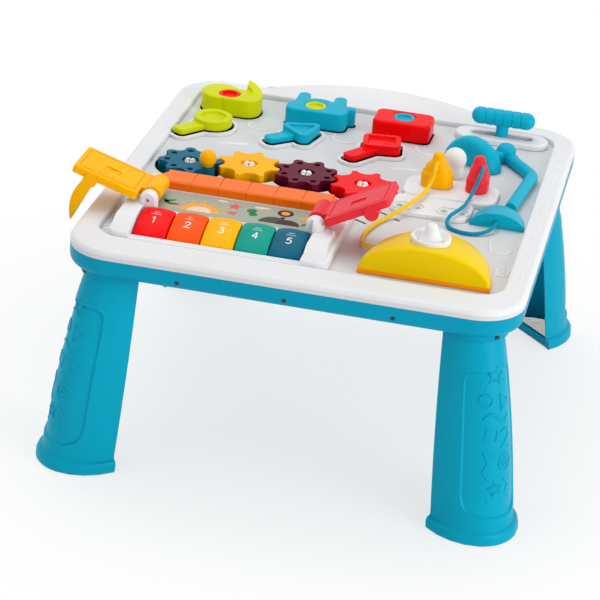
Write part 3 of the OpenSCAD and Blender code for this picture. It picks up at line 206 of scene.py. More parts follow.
def metal(name, colour, rough):
    """Bare metal with faint clouds of tone and uneven gloss."""
    material, tree, shader = node_tree(name)
    place = tree.nodes.new("ShaderNodeTexCoord").outputs["Object"]
    shader.inputs["Metallic"].default_value = 1.0
    tones = spread(tree, noise(tree, place, scale=300), 0.0, 1.0)
    tree.links.new(two_tones(tree, tones, shade(colour, 0.85), colour), shader.inputs["Base Color"])
    tree.links.new(
        spread(tree, noise(tree, place, scale=700), rough - 0.06, rough + 0.08),
        shader.inputs["Roughness"])
    return material


WHITE = srgb(230, 231, 233)
WELL_GREY = srgb(213, 215, 217)
BLUE = srgb(0, 162, 192)
APRON = srgb(0, 152, 184)
SKY = srgb(8, 172, 202)
# height at which the light bar turns paler, a painted highlight for its lit top, and over how much
BAR_SPLIT = 259.2
BAR_BLEND = 0.5

shell_white = moulded("shell_white", WHITE, 0.3)
soft_white = moulded("soft_white", srgb(236, 236, 236), 0.34)
leg_blue = moulded("leg_blue", BLUE, 0.36, 0.02)
tray_blue = moulded("tray_blue", APRON, 0.38, 0.02)
sky_blue = moulded("sky_blue", SKY, 0.3)
bright_red = moulded("bright_red", srgb(244, 2, 8), 0.28)
coral_red = moulded("coral_red", srgb(240, 50, 62), 0.3)
hot_orange = moulded("hot_orange", srgb(254, 84, 0), 0.28)
amber = moulded("amber", srgb(254, 182, 0), 0.3)
lemon = moulded("lemon", srgb(238, 202, 0), 0.32)
lime = moulded("lime", srgb(206, 216, 0), 0.3)
sea_green = moulded("sea_green", srgb(0, 156, 138), 0.28)
deep_teal = moulded("deep_teal", srgb(0, 98, 124), 0.28)
maroon = moulded("maroon", srgb(96, 10, 42), 0.3)
sole_orange = moulded("sole_orange", srgb(252, 150, 8), 0.32)
# the paler upper tone of the light bar is a painted highlight on its lit top
bar_orange_lit_top = banded("bar_orange_lit_top", srgb(250, 116, 14), srgb(250, 124, 58), BAR_SPLIT, BAR_BLEND)
cord_vinyl_yellow = moulded("cord_vinyl_yellow", srgb(240, 196, 38), 0.42, 0.03)
cord_vinyl_blue = moulded("cord_vinyl_blue", srgb(16, 140, 172), 0.42, 0.03)
black_plastic = moulded("black_plastic", srgb(38, 38, 42), 0.45)
board_green = moulded("board_green", srgb(22, 96, 52), 0.4)
contact_grey = moulded("contact_grey", srgb(70, 70, 74), 0.7)
cell_black = moulded("cell_black", srgb(58, 58, 64), 0.35)
pin_steel = metal("pin_steel", srgb(205, 206, 210), 0.25)
screw_metal = metal("screw_metal", srgb(70, 74, 80), 0.45)
print_white = moulded("print_white", srgb(246, 247, 246), 0.5)
panel_green = moulded("panel_green", srgb(166, 176, 160), 0.36)


def below(tree, value, limit):
    """1 where a value is under the limit."""
    node = tree.nodes.new("ShaderNodeMath")
    node.operation = "LESS_THAN"
    node.inputs[1].default_value = limit
    tree.links.new(value, node.inputs[0])
    return node.outputs["Value"]


# heights between which the deck turns from rim white to the grey of its well
WELL_EDGE = 241.2
WELL_FLOOR = 240.2
# height under which the slots in the well are painted dark as painted shade, and how far out from the
# middle they go
SLOT_TOP = 239.2
SLOT_REACH = {"X": 212, "Y": 236}
SLOT_PAINTED_SHADE = (0.012, 0.012, 0.014, 1.0)


def deck_material():
    """White shell whose well is greyer and finely grained, with painted shade making it dark down in
    its slots.
    """
    material, tree, shader = node_tree("deck_white")
    place = tree.nodes.new("ShaderNodeTexCoord").outputs["Object"]
    split = tree.nodes.new("ShaderNodeSeparateXYZ")
    tree.links.new(place, split.inputs["Vector"])
    low = tree.nodes.new("ShaderNodeMapRange")
    low.inputs["From Min"].default_value = WELL_EDGE * MM
    low.inputs["From Max"].default_value = WELL_FLOOR * MM
    tree.links.new(split.outputs["Z"], low.inputs["Value"])
    tones = spread(tree, noise(tree, place, scale=8, detail=4), 0.0, 1.0)
    rim = two_tones(tree, tones, shade(WHITE, 0.97), WHITE)
    well = two_tones(tree, tones, shade(WELL_GREY, 0.96), WELL_GREY)
    both = tree.nodes.new("ShaderNodeMix")
    both.data_type = "RGBA"
    tree.links.new(low.outputs["Result"], both.inputs["Factor"])
    tree.links.new(rim, both.inputs["A"])
    tree.links.new(well, both.inputs["B"])
    slot_shade_mask = below(tree, split.outputs["Z"], SLOT_TOP * MM)
    for side, reach in SLOT_REACH.items():
        size = tree.nodes.new("ShaderNodeMath")
        size.operation = "ABSOLUTE"
        tree.links.new(split.outputs[side], size.inputs[0])
        both_hold = tree.nodes.new("ShaderNodeMath")
        both_hold.operation = "MULTIPLY"
        tree.links.new(slot_shade_mask, both_hold.inputs[0])
        tree.links.new(below(tree, size.outputs["Value"], reach * MM), both_hold.inputs[1])
        slot_shade_mask = both_hold.outputs["Value"]
    # painted shade: the slots are coloured near black where only their depth darkens them
    final = two_tones(tree, slot_shade_mask, WHITE, SLOT_PAINTED_SHADE)
    tree.links.new(both.outputs["Result"], final.node.inputs["A"])
    tree.links.new(final, shader.inputs["Base Color"])
    shader.inputs["Specular IOR Level"].default_value = SHINE
    rough = tree.nodes.new("ShaderNodeMapRange")
    rough.inputs["To Min"].default_value = 0.28
    rough.inputs["To Max"].default_value = 0.46
    tree.links.new(low.outputs["Result"], rough.inputs["Value"])
    tree.links.new(rough.outputs["Result"], shader.inputs["Roughness"])
    bump = tree.nodes.new("ShaderNodeBump")
    bump.inputs["Strength"].default_value = 0.15
    bump.inputs["Distance"].default_value = GRAIN_DEPTH
    tree.links.new(noise(tree, place, scale=1300, detail=2), bump.inputs["Height"])
    tree.links.new(bump.outputs["Normal"], shader.inputs["Normal"])
    return material


deck_white = deck_material()

# ------------------------------------------------------------------ cords

CORD_YELLOW = [
    (100, 30.2, 275), (99.8, 26.4, 275.2), (99.4, 23.2, 273.6), (98.8, 21, 270.4), (98.1, 20, 266),
    (97.3, 19.2, 261.4), (96.3, 17.4, 257), (95.1, 13.6, 253.6), (93.4, 7, 251.4),
    (91.4, -2, 250.6), (89, -13, 250.6), (86.5, -22, 250.8), (83.6, -32, 250.8), (79, -42, 249.8),
    (72, -51, 246.6), (64, -61, 243.2), (58, -74, 242.7), (54, -87, 242.7), (51, -100, 242.7),
    (50, -113, 242.7), (51, -125, 243.2), (53, -136, 245), (57.5, -145, 247.4),
    (64, -150.6, 249), (69.6, -153.4, 249.6)]
CORD_BLUE = [
    (145.9, 37, 275), (147.4, 34, 275.4), (148.2, 30.6, 275.4), (148.2, 27, 274.2),
    (147.4, 23.8, 271.2), (146.2, 21.6, 267), (144.9, 20.2, 262.4), (143.6, 18.4, 258),
    (142.2, 14.8, 254.4), (141, 9, 251.8), (140, 2, 250.6), (139.2, -6, 250.4),
    (138.4, -14, 250.5), (136.4, -23, 250.6), (133, -33, 250.4), (128, -43, 248.8),
    (126, -51, 244.8), (129.6, -58, 242.4), (138, -64, 242.3), (148, -66.5, 242.3),
    (158, -65, 242.4), (167, -60, 243.6), (173.4, -52, 245.6), (175.6, -45, 247),
    (176, -37.7, 247.4)]


def make_cord(name, route, diameter, material, node):
    """A vinyl cord along its route, from the deck piece at the route's end to its plug."""
    curve = bpy.data.curves.new(name, "CURVE")
    curve.dimensions = "3D"
    curve.resolution_u = 6
    curve.bevel_depth = diameter / 2 * MM
    curve.bevel_resolution = 5
    curve.use_fill_caps = True
    spline = curve.splines.new("BEZIER")
    points = list(reversed(route))
    spline.bezier_points.add(len(points) - 1)
    for place, point in zip(points, spline.bezier_points):
        point.co = Vector(place) * MM
        point.handle_left_type = "AUTO"
        point.handle_right_type = "AUTO"
    curve.materials.append(material)
    cord = bpy.data.objects.new(name, curve)
    bpy.context.scene.collection.objects.link(cord)
    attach(cord, "table")
    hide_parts(node)


# ------------------------------------------------------------------ moulded edges


def crisp_edges(bm, degrees, test=None):
    """Edges sharper than the angle; the test looks at their middle, in millimetres."""
    found = []
    for edge in bm.edges:
        if len(edge.link_faces) == 2 and edge.calc_face_angle(0) > math.radians(degrees):
            middle = (edge.verts[0].co + edge.verts[1].co) * 500
            if test is None or test(middle):
                found.append(edge)
    return found


def round_off(bm, edges, width, segments):
    """Rounds edges over a width in millimetres."""
    bmesh.ops.bevel(
        bm, geom=edges, offset=width * MM, offset_type="OFFSET", affect="EDGES",
        segments=segments, profile=0.5, clamp_overlap=True, material=-1)


# corners nearer than this, in metres, are one
WELD = 2e-6
FLAT_DEGREES = 0.5
CRISP_DEGREES = 34
SOFT_CRISP_DEGREES = 32
SHARP_DEGREES = 50


def moulded_copy(node, body, material, slot, width, soft=None):
    """The CAD piece with its crisp edges rounded, as a mould leaves them."""
    bm = bmesh.new()
    bm.from_mesh(NODES[node].data)
    bmesh.ops.remove_doubles(bm, verts=bm.verts, dist=WELD)
    bmesh.ops.dissolve_limit(
        bm, angle_limit=math.radians(FLAT_DEGREES), verts=bm.verts, edges=bm.edges,
        delimit=set())
    if soft:
        soft_width, test = soft
        round_off(bm, crisp_edges(bm, SOFT_CRISP_DEGREES, test), soft_width, 4)
    round_off(bm, crisp_edges(bm, CRISP_DEGREES), width, 2)
    mesh = to_mesh(bm, node + "_moulded")
    smooth_by_angle(mesh, SHARP_DEGREES)
    piece = link_piece(node + "_moulded", mesh, body, material)
    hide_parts(node)
    weigh = piece.modifiers.new("weighted_normals", "WEIGHTED_NORMAL")
    weigh.keep_sharp = True
    weigh.weight = 60


def with_modifiers(shape, *wanted):
    """The mesh or curve after the modifiers, each given as its kind and its settings."""
    blank = bpy.data.objects.new("blank", shape)
    bpy.context.scene.collection.objects.link(blank)
    for kind, settings in wanted:
        modifier = blank.modifiers.new(kind, kind)
        for key, value in settings.items():
            setattr(modifier, key, value)
    graph = bpy.context.evaluated_depsgraph_get()
    found = bpy.data.meshes.new_from_object(blank.evaluated_get(graph))
    bpy.data.objects.remove(blank)
    for face in found.polygons:
        face.use_smooth = True
    return found


def one_skin(mesh, grain, rounds):
    """One closed skin round all solids of the mesh, its edges rounded by the smoothing."""
    return with_modifiers(
        mesh,
        ("REMESH", {"mode": "VOXEL", "voxel_size": grain * MM, "adaptivity": 0.0}),
        ("SMOOTH", {"factor": 0.5, "iterations": rounds}))


def softened_copy(node, body, material, slot, grain, rounds):
    """The CAD piece with the large soft edges of a thick moulding."""
    bm = bmesh.new()
    bm.from_mesh(NODES[node].data)
    bmesh.ops.remove_doubles(bm, verts=bm.verts, dist=WELD)
    bmesh.ops.recalc_face_normals(bm, faces=bm.faces)
    mesh = one_skin(to_mesh(bm, node + "_merged"), grain, rounds)
    piece = link_piece(node + "_moulded", mesh, body, material)
    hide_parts(node)


def paint(node, material):
    """A CAD piece that stays as it is, with its finish."""
    mesh = NODES[node].data
    mesh.materials.clear()
    mesh.materials.append(material)


# width of the softer edges of a piece, and where they are
SOFT = {
    "top_panel": (4.5, lambda p: 245.5 < p.z < 246.5),
    "iron_body": (3, lambda p: p.y < -195 and p.z > 246),
    "lamp_base": (2, lambda p: p.z > 242),
}
# node, body, finish, slot, and width of the rounded edges
EDGED = [
    ("top_panel", "table", deck_white, "white_shell", 1.0),
    ("bottom_tray", "table", tray_blue, "blue_shell", 0.6),
    ("leg_front_left", "table", leg_blue, "blue_shell", 0.8),
    ("leg_front_right", "table", leg_blue, "blue_shell", 0.8),
    ("leg_back_left", "table", leg_blue, "blue_shell", 0.8),
    ("leg_back_right", "table", leg_blue, "blue_shell", 0.8),
    ("keyboard_housing", "table", shell_white, "white_shell", 0.8),
    ("light_bar", "table", bar_orange_lit_top, "bar_plastic", 0.5),
    ("page_yellow", "page_left", amber, "amber_plastic", 0.6),
    ("page_red", "page_right", coral_red, "coral_plastic", 0.6),
    ("gear_teal", "gear_1", deep_teal, "teal_plastic", 1.2),
    ("gear_yellow", "gear_2", amber, "amber_plastic", 1.2),
    ("gear_maroon", "gear_3", maroon, "maroon_plastic", 1.2),
    ("gear_red", "gear_4", bright_red, "red_plastic", 1.2),
    ("crank_knob", "knob", amber, "amber_plastic", 0.8),
    ("gear_studs", "table", soft_white, "white_shell", 0.3),
    ("insert_red", "figure_1", bright_red, "red_plastic", 0.8),
    ("insert_green", "figure_2", lime, "lime_plastic", 0.8),
    ("insert_blue", "figure_3", sky_blue, "sky_plastic", 0.8),
    ("slide_handle", "handle", sky_blue, "sky_plastic", 0.4),
    ("slide_track", "table", shell_white, "white_shell", 0.5),
    ("lamp_base", "table", sky_blue, "sky_plastic", 0.8),
    ("socket_block", "table", shell_white, "white_shell", 0.8),
    ("iron_body", "table", lemon, "yellow_plastic", 2.0),
    ("iron_sole", "table", sole_orange, "orange_plastic", 0.8),
    ("dial_dish", "table", soft_white, "white_shell", 0.5),
    ("battery_cover", "table", tray_blue, "blue_shell", 0.3),
]

# node, body, finish, slot, grain of the skin and rounds of smoothing
SOFTENED = [
    ("key_red", "key_1", bright_red, "red_plastic", 0.6, 10),
    ("key_orange", "key_2", hot_orange, "orange_plastic", 0.6, 10),
    ("key_yellow", "key_3", amber, "amber_plastic", 0.6, 10),
    ("key_green", "key_4", sea_green, "green_plastic", 0.6, 10),
    ("key_blue", "key_5", deep_teal, "teal_plastic", 0.6, 10),
    ("figure_snail", "figure_1", lime, "lime_plastic", 0.8, 16),
    ("figure_plane", "figure_2", sky_blue, "sky_plastic", 0.8, 16),
    ("figure_camera", "figure_3", bright_red, "red_plastic", 0.8, 16),
    ("paddle_round", "paddle_1", lime, "lime_plastic", 0.6, 12),
    ("paddle_triangle", "paddle_2", sky_blue, "sky_plastic", 0.6, 12),
    ("paddle_square", "paddle_3", bright_red, "red_plastic", 0.6, 12),
]

# pieces that keep their shape
PLAIN = [
    ("tray_screws", screw_metal), ("leg_screws", screw_metal), ("key_axle", pin_steel),
    ("key_contacts", contact_grey), ("page_pins", pin_steel), ("paddle_pins", pin_steel),
    ("lamp_bulb", soft_white), ("dial_knob", soft_white),
    ("speaker", black_plastic), ("circuit_board", board_green), ("battery_cells", cell_black),
    ("power_switch", black_plastic), ("picture_panel", panel_green),
]

# ------------------------------------------------------------------ lamp and plugs

DECK_Z = 240.3
SHADE_AT = Vector((118.6, 112, 235.8))
SHADE_R = 41.5
SHADE_EDGE = 15
SHADE_TURN = 62
# the dish in the face of the shade: its middle, reach and depth
DISH_SIDE = -2
DISH_RISE = 12
DISH_R = 26
DISH_DEPTH = 7
JOINT_AT = (159, 149)
JOINT_PROFILE = [(0, 0), (11, 0), (11, 12.5), (10.4, 15.4), (8.8, 17.7), (6.2, 19.4), (3.2, 20.3),
                 (0, 20.6)]
NECK_AT = (150, 140, DECK_Z + 6.5)
NECK_SIZE = (26, 14, 13)
NECK_TURN = 45
COLLAR_AT = (168, 136.9, DECK_Z + 6.5)
COLLAR_PROFILE = [(0, 0), (6.8, 0), (7.4, 0.6), (7.4, 2.6), (6.8, 3.2), (0, 3.2)]
ARM_R = 6.6
ARM_ROUTE = [(163, 143.5), (172, 131.6), (181, 119.7), (189, 109.2), (193.6, 102.2), (194.9, 95.6),
             (193.9, 87), (191.2, 63), (188.2, 37), (184.4, 3)]


def lathe(bm, profile, place, steps=64):
    """Turns a profile of (radius, height) round the Z axis of a place, as a closed form."""
    rings = []
    for radius, height in profile:
        if radius == 0:
            rings.append([bm.verts.new(place @ (Vector((0, 0, height)) * MM))])
            continue
        rings.append([
            bm.verts.new(place @ (Vector((radius * math.cos(math.tau * k / steps),
                                          radius * math.sin(math.tau * k / steps), height)) * MM))
            for k in range(steps)])
    for a, b in zip(rings, rings[1:]):
        for k in range(steps):
            m = (k + 1) % steps
            corners = [a[k % len(a)], a[m % len(a)], b[m % len(b)], b[k % len(b)]]
            bm.faces.new(list(dict.fromkeys(corners)))
    for ring in (rings[0], rings[-1]):
        if len(ring) > 1:
            bm.faces.new(ring)


def stood_at(x, y, z):
    """A place in millimetres, unturned."""
    return Matrix.Translation(Vector((x, y, z)) * MM)


EDGE_STEPS = 8
BALL_STEPS = 14


def shade_profile():
    """Half section of the shade: flat face, large round edge, ball."""
    e, r = SHADE_EDGE, SHADE_R
    reach = math.sqrt((r - e) ** 2 - e ** 2)
    meet = math.atan2(reach, e)
    profile = [(0, 0)]
    for k in range(EDGE_STEPS + 1):
        a = math.pi + (meet - math.pi) * k / EDGE_STEPS
        profile.append((reach + e * math.sin(a), e + e * math.cos(a)))
    for k in range(1, BALL_STEPS):
        a = meet * (1 - k / BALL_STEPS)
        profile.append((r * math.sin(a), r * math.cos(a)))
    return profile + [(0, r)]


def dish_face(mesh):
    """Presses a shallow dish, which fades out towards the back, into the face of the shade."""
    turn = math.radians(SHADE_TURN)
    back = Vector((math.cos(turn), math.sin(turn), 0))
    side = Vector((-back.y, back.x, 0))
    for vertex in mesh.vertices:
        p = vertex.co / MM - SHADE_AT
        depth = p.dot(back)
        off = math.hypot(p.dot(side) - DISH_SIDE, p.z - DISH_RISE)
        wall = math.sqrt(max(SHADE_R ** 2 - p.z ** 2 - p.dot(side) ** 2, 1))
        if off < DISH_R and -1 < depth < wall:
            press = DISH_DEPTH * (1 - (off / DISH_R) ** 2) * (1 - depth / wall)
            vertex.co += back * (press * MM)


def make_lamp_shade():
    """Thick shade with its dished face, the neck and the domed joint, in one skin."""
    bm = bmesh.new()
    turn = Matrix.Rotation(math.radians(SHADE_TURN), 4, "Z") @ Matrix.Rotation(math.pi / 2, 4, "Y")
    lathe(bm, shade_profile(), Matrix.Translation(SHADE_AT * MM) @ turn)
    cut = bmesh.ops.bisect_plane(
        bm, geom=bm.verts[:] + bm.edges[:] + bm.faces[:], plane_co=(0, 0, DECK_Z * MM),
        plane_no=(0, 0, 1), clear_inner=True)
    rim = [g for g in cut["geom_cut"] if isinstance(g, bmesh.types.BMEdge)]
    bmesh.ops.holes_fill(bm, edges=rim)
    bmesh.ops.recalc_face_normals(bm, faces=bm.faces)
    mesh = one_skin(to_mesh(bm, "shade_solid"), 0.9, 0)
    dish_face(mesh)
    bm = bmesh.new()
    bm.from_mesh(mesh)
    lathe(bm, JOINT_PROFILE, stood_at(*JOINT_AT, DECK_Z))
    neck_turn = Matrix.Rotation(math.radians(NECK_TURN), 4, "Z")
    neck_size = Matrix.Diagonal([side * MM for side in NECK_SIZE] + [1])
    bmesh.ops.create_cube(bm, size=1, matrix=stood_at(*NECK_AT) @ neck_turn @ neck_size)
    bmesh.ops.recalc_face_normals(bm, faces=bm.faces)
    mesh = one_skin(to_mesh(bm, "shade_solids"), 0.8, 10)
    piece = link_piece("lamp_shade_moulded", mesh, "table", sky_blue)
    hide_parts("lamp_shade")


def make_lamp_arm():
    """Bent round arm with a collar where it leaves the joint."""
    curve = bpy.data.curves.new("lamp_arm_line", "CURVE")
    curve.dimensions = "3D"
    curve.bevel_depth = ARM_R * MM
    curve.bevel_resolution = 8
    curve.use_fill_caps = True
    spline = curve.splines.new("BEZIER")
    spline.bezier_points.add(len(ARM_ROUTE) - 1)
    for (x, y), point in zip(ARM_ROUTE, spline.bezier_points):
        point.co = Vector((x, y, DECK_Z + ARM_R)) * MM
        point.handle_left_type = "AUTO"
        point.handle_right_type = "AUTO"
    mesh = with_modifiers(curve)
    bpy.data.curves.remove(curve)
    bm = bmesh.new()
    bm.from_mesh(mesh)
    run = Vector(ARM_ROUTE[1]) - Vector(ARM_ROUTE[0])
    turn = Vector((run.x, run.y, 0)).to_track_quat("Z", "Y").to_matrix().to_4x4()
    lathe(bm, COLLAR_PROFILE, stood_at(*COLLAR_AT) @ turn, 40)
    bmesh.ops.recalc_face_normals(bm, faces=bm.faces)
    mesh = to_mesh(bm, "lamp_arm_moulded")
    smooth_by_angle(mesh, 50)
    piece = link_piece("lamp_arm_moulded", mesh, "table", sky_blue)
    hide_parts("lamp_arm")


# length, width and height of a plug's sections above its seat
PLUG_SECTIONS = [
    (33, 22, 0), (34.4, 23.4, 0.3), (35, 24, 1.2), (35, 24, 12.4), (34.4, 23.4, 14), (33, 22, 15.2),
    (31, 20.8, 15.8), (30, 20.4, 16.6), (28.8, 20, 19), (26, 18.8, 22), (21.4, 16.8, 25.2),
    (17, 14.6, 27.8), (14, 13.2, 30), (12.6, 12.4, 31.8), (12.4, 12.4, 33.6), (11.4, 11.4, 35.6),
    (8.6, 8.6, 36.9), (4.6, 4.6, 37.4),
]
PLUG_SEAT = 247.3
PRONG_OFF = 9.5
PRONG_SINK = 3.4
PRONG_PROFILE = [(0, 0), (1.9, 0), (2.4, 0.5), (2.4, 4.4), (0, 4.4)]
# node, body, place, turn, finish and slot
PLUGS = [
    ("plug_orange", "plug_1", 100, 36, 0, amber, "amber_plastic"),
    ("plug_red", "plug_2", 143, 42, 90, coral_red, "coral_plastic"),
]


def stadium_ring(length, width, count=12):
    """Outline of two half circles joined by straight sides."""
    half, r = (length - width) / 2, width / 2
    found = []
    for side in (1, -1):
        for k in range(count + 1):
            a = math.pi * (k / count - 0.5)
            found.append((side * (half + r * math.cos(a)), side * r * math.sin(a)))
    return found


def make_plug(name, body, x, y, turn, material, slot):
    """Toy plug: a long drum, a sloping shoulder, a round nub and two prongs."""
    bm = bmesh.new()
    spin = Matrix.Rotation(math.radians(turn), 4, "Z")
    place = stood_at(x, y, PLUG_SEAT) @ spin
    rings = [[bm.verts.new(place @ (Vector((u, v, z)) * MM)) for u, v in stadium_ring(length, width)]
             for length, width, z in PLUG_SECTIONS]
    count = len(rings[0])
    for a, b in zip(rings, rings[1:]):
        for k in range(count):
            m = (k + 1) % count
            bm.faces.new((a[k], a[m], b[m], b[k]))
    bm.faces.new(rings[0][::-1])
    bm.faces.new(rings[-1])
    bmesh.ops.remove_doubles(bm, verts=bm.verts, dist=1e-6)
    for side in (-PRONG_OFF, PRONG_OFF):
        lathe(bm, PRONG_PROFILE, place @ stood_at(side, 0, -PRONG_SINK), 24)
    bmesh.ops.recalc_face_normals(bm, faces=bm.faces)
    mesh = to_mesh(bm, name + "_moulded")
    smooth_by_angle(mesh, 40)
    piece = link_piece(name + "_moulded", mesh, body, material)
    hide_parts(name)
    return piece


# ------------------------------------------------------------------ raised lines and prints


def caster(node):
    """Ray test against a CAD piece."""
    mesh = NODES[node].data
    corners = [v.co.copy() for v in mesh.vertices]
    return BVHTree.FromPolygons(corners, [list(p.vertices) for p in mesh.polygons]).ray_cast


def smooth_line(points, steps=5):
    """A curve through the points."""
    count = len(points)
    if count < 3:
        return points
    found = []
    for i in range(count - 1):
        four = [points[min(max(i + k, 0), count - 1)] for k in (-1, 0, 1, 2)]
        for k in range(steps):
            t = k / steps
            found.append(tuple(0.5 * (2 * b + (c - a) * t + (2 * a - 5 * b + 4 * c - d) * t * t
                                      + (3 * b - a - 3 * c + d) * t ** 3)
                               for a, b, c, d in zip(*four)))
    return found + [points[-1]]


def fine_line(points, gap=0.7):
    """The same line with a point at every gap, so that it follows a crowned surface."""
    found = [points[0]]
    for a, b in zip(points, points[1:]):
        parts = max(1, round(math.dist(a, b) / gap))
        found += [(a[0] + (b[0] - a[0]) * k / parts, a[1] + (b[1] - a[1]) * k / parts)
                  for k in range(1, parts + 1)]
    return found


def ring_of(x, y, r, count=20):
    return [(x + r * math.cos(math.tau * k / count), y + r * math.sin(math.tau * k / count))
            for k in range(count)]


STAR_INNER = 0.45


def star_of(x, y, r, turn):
    """A star of five points."""
    found = []
    for k in range(10):
        a = math.radians(turn + k * 36)
        reach = r if k % 2 == 0 else r * STAR_INNER
        found.append((x + reach * math.cos(a), y + reach * math.sin(a)))
    return found


SECTION_POINTS = 7
# how far round the rounded ends of a line its last sections stand
END_TURNS = (35, 65, 85)


def cross_ring(bm, place, normal, along, half, height, sink):
    """One half-round section of a raised line."""
    side = along.cross(normal).normalized()
    found = []
    for k in range(SECTION_POINTS):
        a = math.pi * k / (SECTION_POINTS - 1)
        found.append(bm.verts.new(
            place + side * (half * math.cos(a)) + normal * (height * math.sin(a) - sink)))
    return found


def raised_line(bm, laid, width, height, closed=False, sink=0.12):
    """A rounded line of the given width and height on a surface, in millimetres."""
    count = len(laid)
    half, height, sink = width * MM / 2, height * MM, sink * MM
    rings = []
    for i, (place, normal) in enumerate(laid):
        after = laid[(i + 1) % count if closed else min(i + 1, count - 1)][0]
        before = laid[(i - 1) % count if closed else max(i - 1, 0)][0]
        along = (after - before).normalized()
        ends = []
        if not closed and i in (0, count - 1):
            out = -1 if i == 0 else 1
            for turn in END_TURNS:
                a = math.radians(turn)
                ends.append(cross_ring(
                    bm, place + along * (out * half * math.sin(a)), normal, along,
                    half * math.cos(a), height * math.cos(a), sink))
        here = cross_ring(bm, place, normal, along, half, height, sink)
        rings += ends[::-1] + [here] if i == 0 else [here] + ends
    total = len(rings)
    for i in range(total if closed else total - 1):
        a, b = rings[i], rings[(i + 1) % total]
        for k in range(SECTION_POINTS):
            m = (k + 1) % SECTION_POINTS
            bm.faces.new((a[k], a[m], b[m], b[k]))
    if not closed:
        bm.faces.new(rings[0][::-1])
        bm.faces.new(rings[-1])


DOT_SIDES = 16
DOT_TURNS = (0, 25, 50, 75)


def raised_dot(bm, place, normal, radius, height, sink=0.12):
    """A low round button on a surface."""
    across = normal.orthogonal().normalized()
    up = normal.cross(across)
    rings = []
    for turn in DOT_TURNS:
        a = math.radians(turn)
        reach = radius * MM * math.cos(a)
        lift = normal * ((height * math.sin(a) - sink) * MM)
        rings.append([
            bm.verts.new(place + lift + across * (reach * math.cos(math.tau * k / DOT_SIDES))
                         + up * (reach * math.sin(math.tau * k / DOT_SIDES)))
            for k in range(DOT_SIDES)])
    for a, b in zip(rings, rings[1:]):
        for k in range(DOT_SIDES):
            m = (k + 1) % DOT_SIDES
            bm.faces.new((a[k], a[m], b[m], b[k]))
    bm.faces.new(rings[-1])
    bm.faces.new(rings[0][::-1])


ABOVE_ALL = 400


def lay_down(cast, points):
    """Where points of the plan, in millimetres, meet a piece from above."""
    found = []
    for x, y in points:
        place, normal = cast(Vector((x, y, ABOVE_ALL)) * MM, Vector((0, 0, -1)))[:2]
        if place is not None:
            found.append((place, normal))
    return found


def finish_relief(bm, name, body, material):
    """Ends raised or printed marks as a piece of their own."""
    bmesh.ops.recalc_face_normals(bm, faces=bm.faces)
    mesh = to_mesh(bm, name)
    smooth_by_angle(mesh, 60)
    link_piece(name, mesh, body, material)


# strokes of the numbers 1 to 5, in shares of a number's width
DIGITS = [
    [[(0.2, 1.25), (0.52, 1.6)], [(0.52, 1.6), (0.52, 0)]],
    [[(0.02, 1.2), (0.18, 1.5), (0.5, 1.6), (0.85, 1.45), (0.93, 1.12), (0.72, 0.75), (0.02, 0.02)],
     [(0.02, 0), (0.98, 0)]],
    [[(0.05, 1.42), (0.4, 1.6), (0.82, 1.48), (0.88, 1.12), (0.45, 0.86)],
     [(0.45, 0.86), (0.92, 0.68), (0.98, 0.3), (0.55, 0), (0.02, 0.18)]],
    [[(0.74, 0), (0.74, 1.6)], [(0.7, 1.6), (0.02, 0.48)], [(0.02, 0.48), (1, 0.48)]],
    [[(0.9, 1.6), (0.2, 1.6)], [(0.2, 1.6), (0.12, 0.9)],
     [(0.12, 0.9), (0.5, 1.04), (0.9, 0.84), (0.96, 0.42), (0.6, 0.02), (0.04, 0.14)]],
]
KEYS = ["key_red", "key_orange", "key_yellow", "key_green", "key_blue"]
KEY_PITCH = 34.8
FIRST_KEY_X = -170
DIGIT_W = 5.2
DIGIT_FOOT = -184.5
# half length and place of the two fine lines behind a number
KEY_LINES = [(5, -171.2), (3, -167.6)]
INK_SINK = 0.03


def make_key_print():
    """White number and two fine lines on each key."""
    for i, node in enumerate(KEYS):
        cast = caster(node)
        middle = FIRST_KEY_X + (i + 0.5) * KEY_PITCH
        bm = bmesh.new()
        for stroke in DIGITS[i]:
            points = [(middle - DIGIT_W / 2 + DIGIT_W * x, DIGIT_FOOT + DIGIT_W * y)
                      for x, y in stroke]
            line = lay_down(cast, fine_line(smooth_line(points)))
            raised_line(bm, line, 1.2, 0.09, sink=INK_SINK)
        for half, y in KEY_LINES:
            points = fine_line([(middle - half, y), (middle + half, y)])
            raised_line(bm, lay_down(cast, points), 0.6, 0.08, sink=INK_SINK)
        finish_relief(bm, node + "_print", "key_%d" % (i + 1), print_white)


PANEL_TOP = 251.1
PANEL_LIFT = 7
PATCH_SINK = 0.02
PATCH_LAYER = 0.03


def print_patch(bm, outline, level):
    """A flat printed shape on the picture panel, layer over layer."""
    low = PANEL_TOP - PATCH_SINK
    high = PANEL_TOP + PATCH_LAYER * level
    count = len(outline)
    under = [bm.verts.new(Vector((x, y + PANEL_LIFT, low)) * MM) for x, y in outline]
    over = [bm.verts.new(Vector((x, y + PANEL_LIFT, high)) * MM) for x, y in outline]
    bm.faces.new(over)
    bm.faces.new(under[::-1])
    for k in range(count):
        m = (k + 1) % count
        bm.faces.new((under[k], under[m], over[m], over[k]))


def leaf_of(x, y, length, width, turn):
    """A leaf that narrows to its tip."""
    a = math.radians(turn)
    found = []
    for k in range(16):
        t = math.tau * k / 16
        u = length / 2 * math.cos(t)
        v = width / 2 * math.sin(t) * (1 - 0.35 * math.cos(t))
        found.append((x + u * math.cos(a) - v * math.sin(a), y + u * math.sin(a) + v * math.cos(a)))
    return found


def half_disc(x, y, r, count=18):
    return [(x + r * math.cos(math.pi * k / count), y + r * math.sin(math.pi * k / count))
            for k in range(count + 1)]


SUN_X, SUN_Y, RAY_REACH = -118, -143, 27


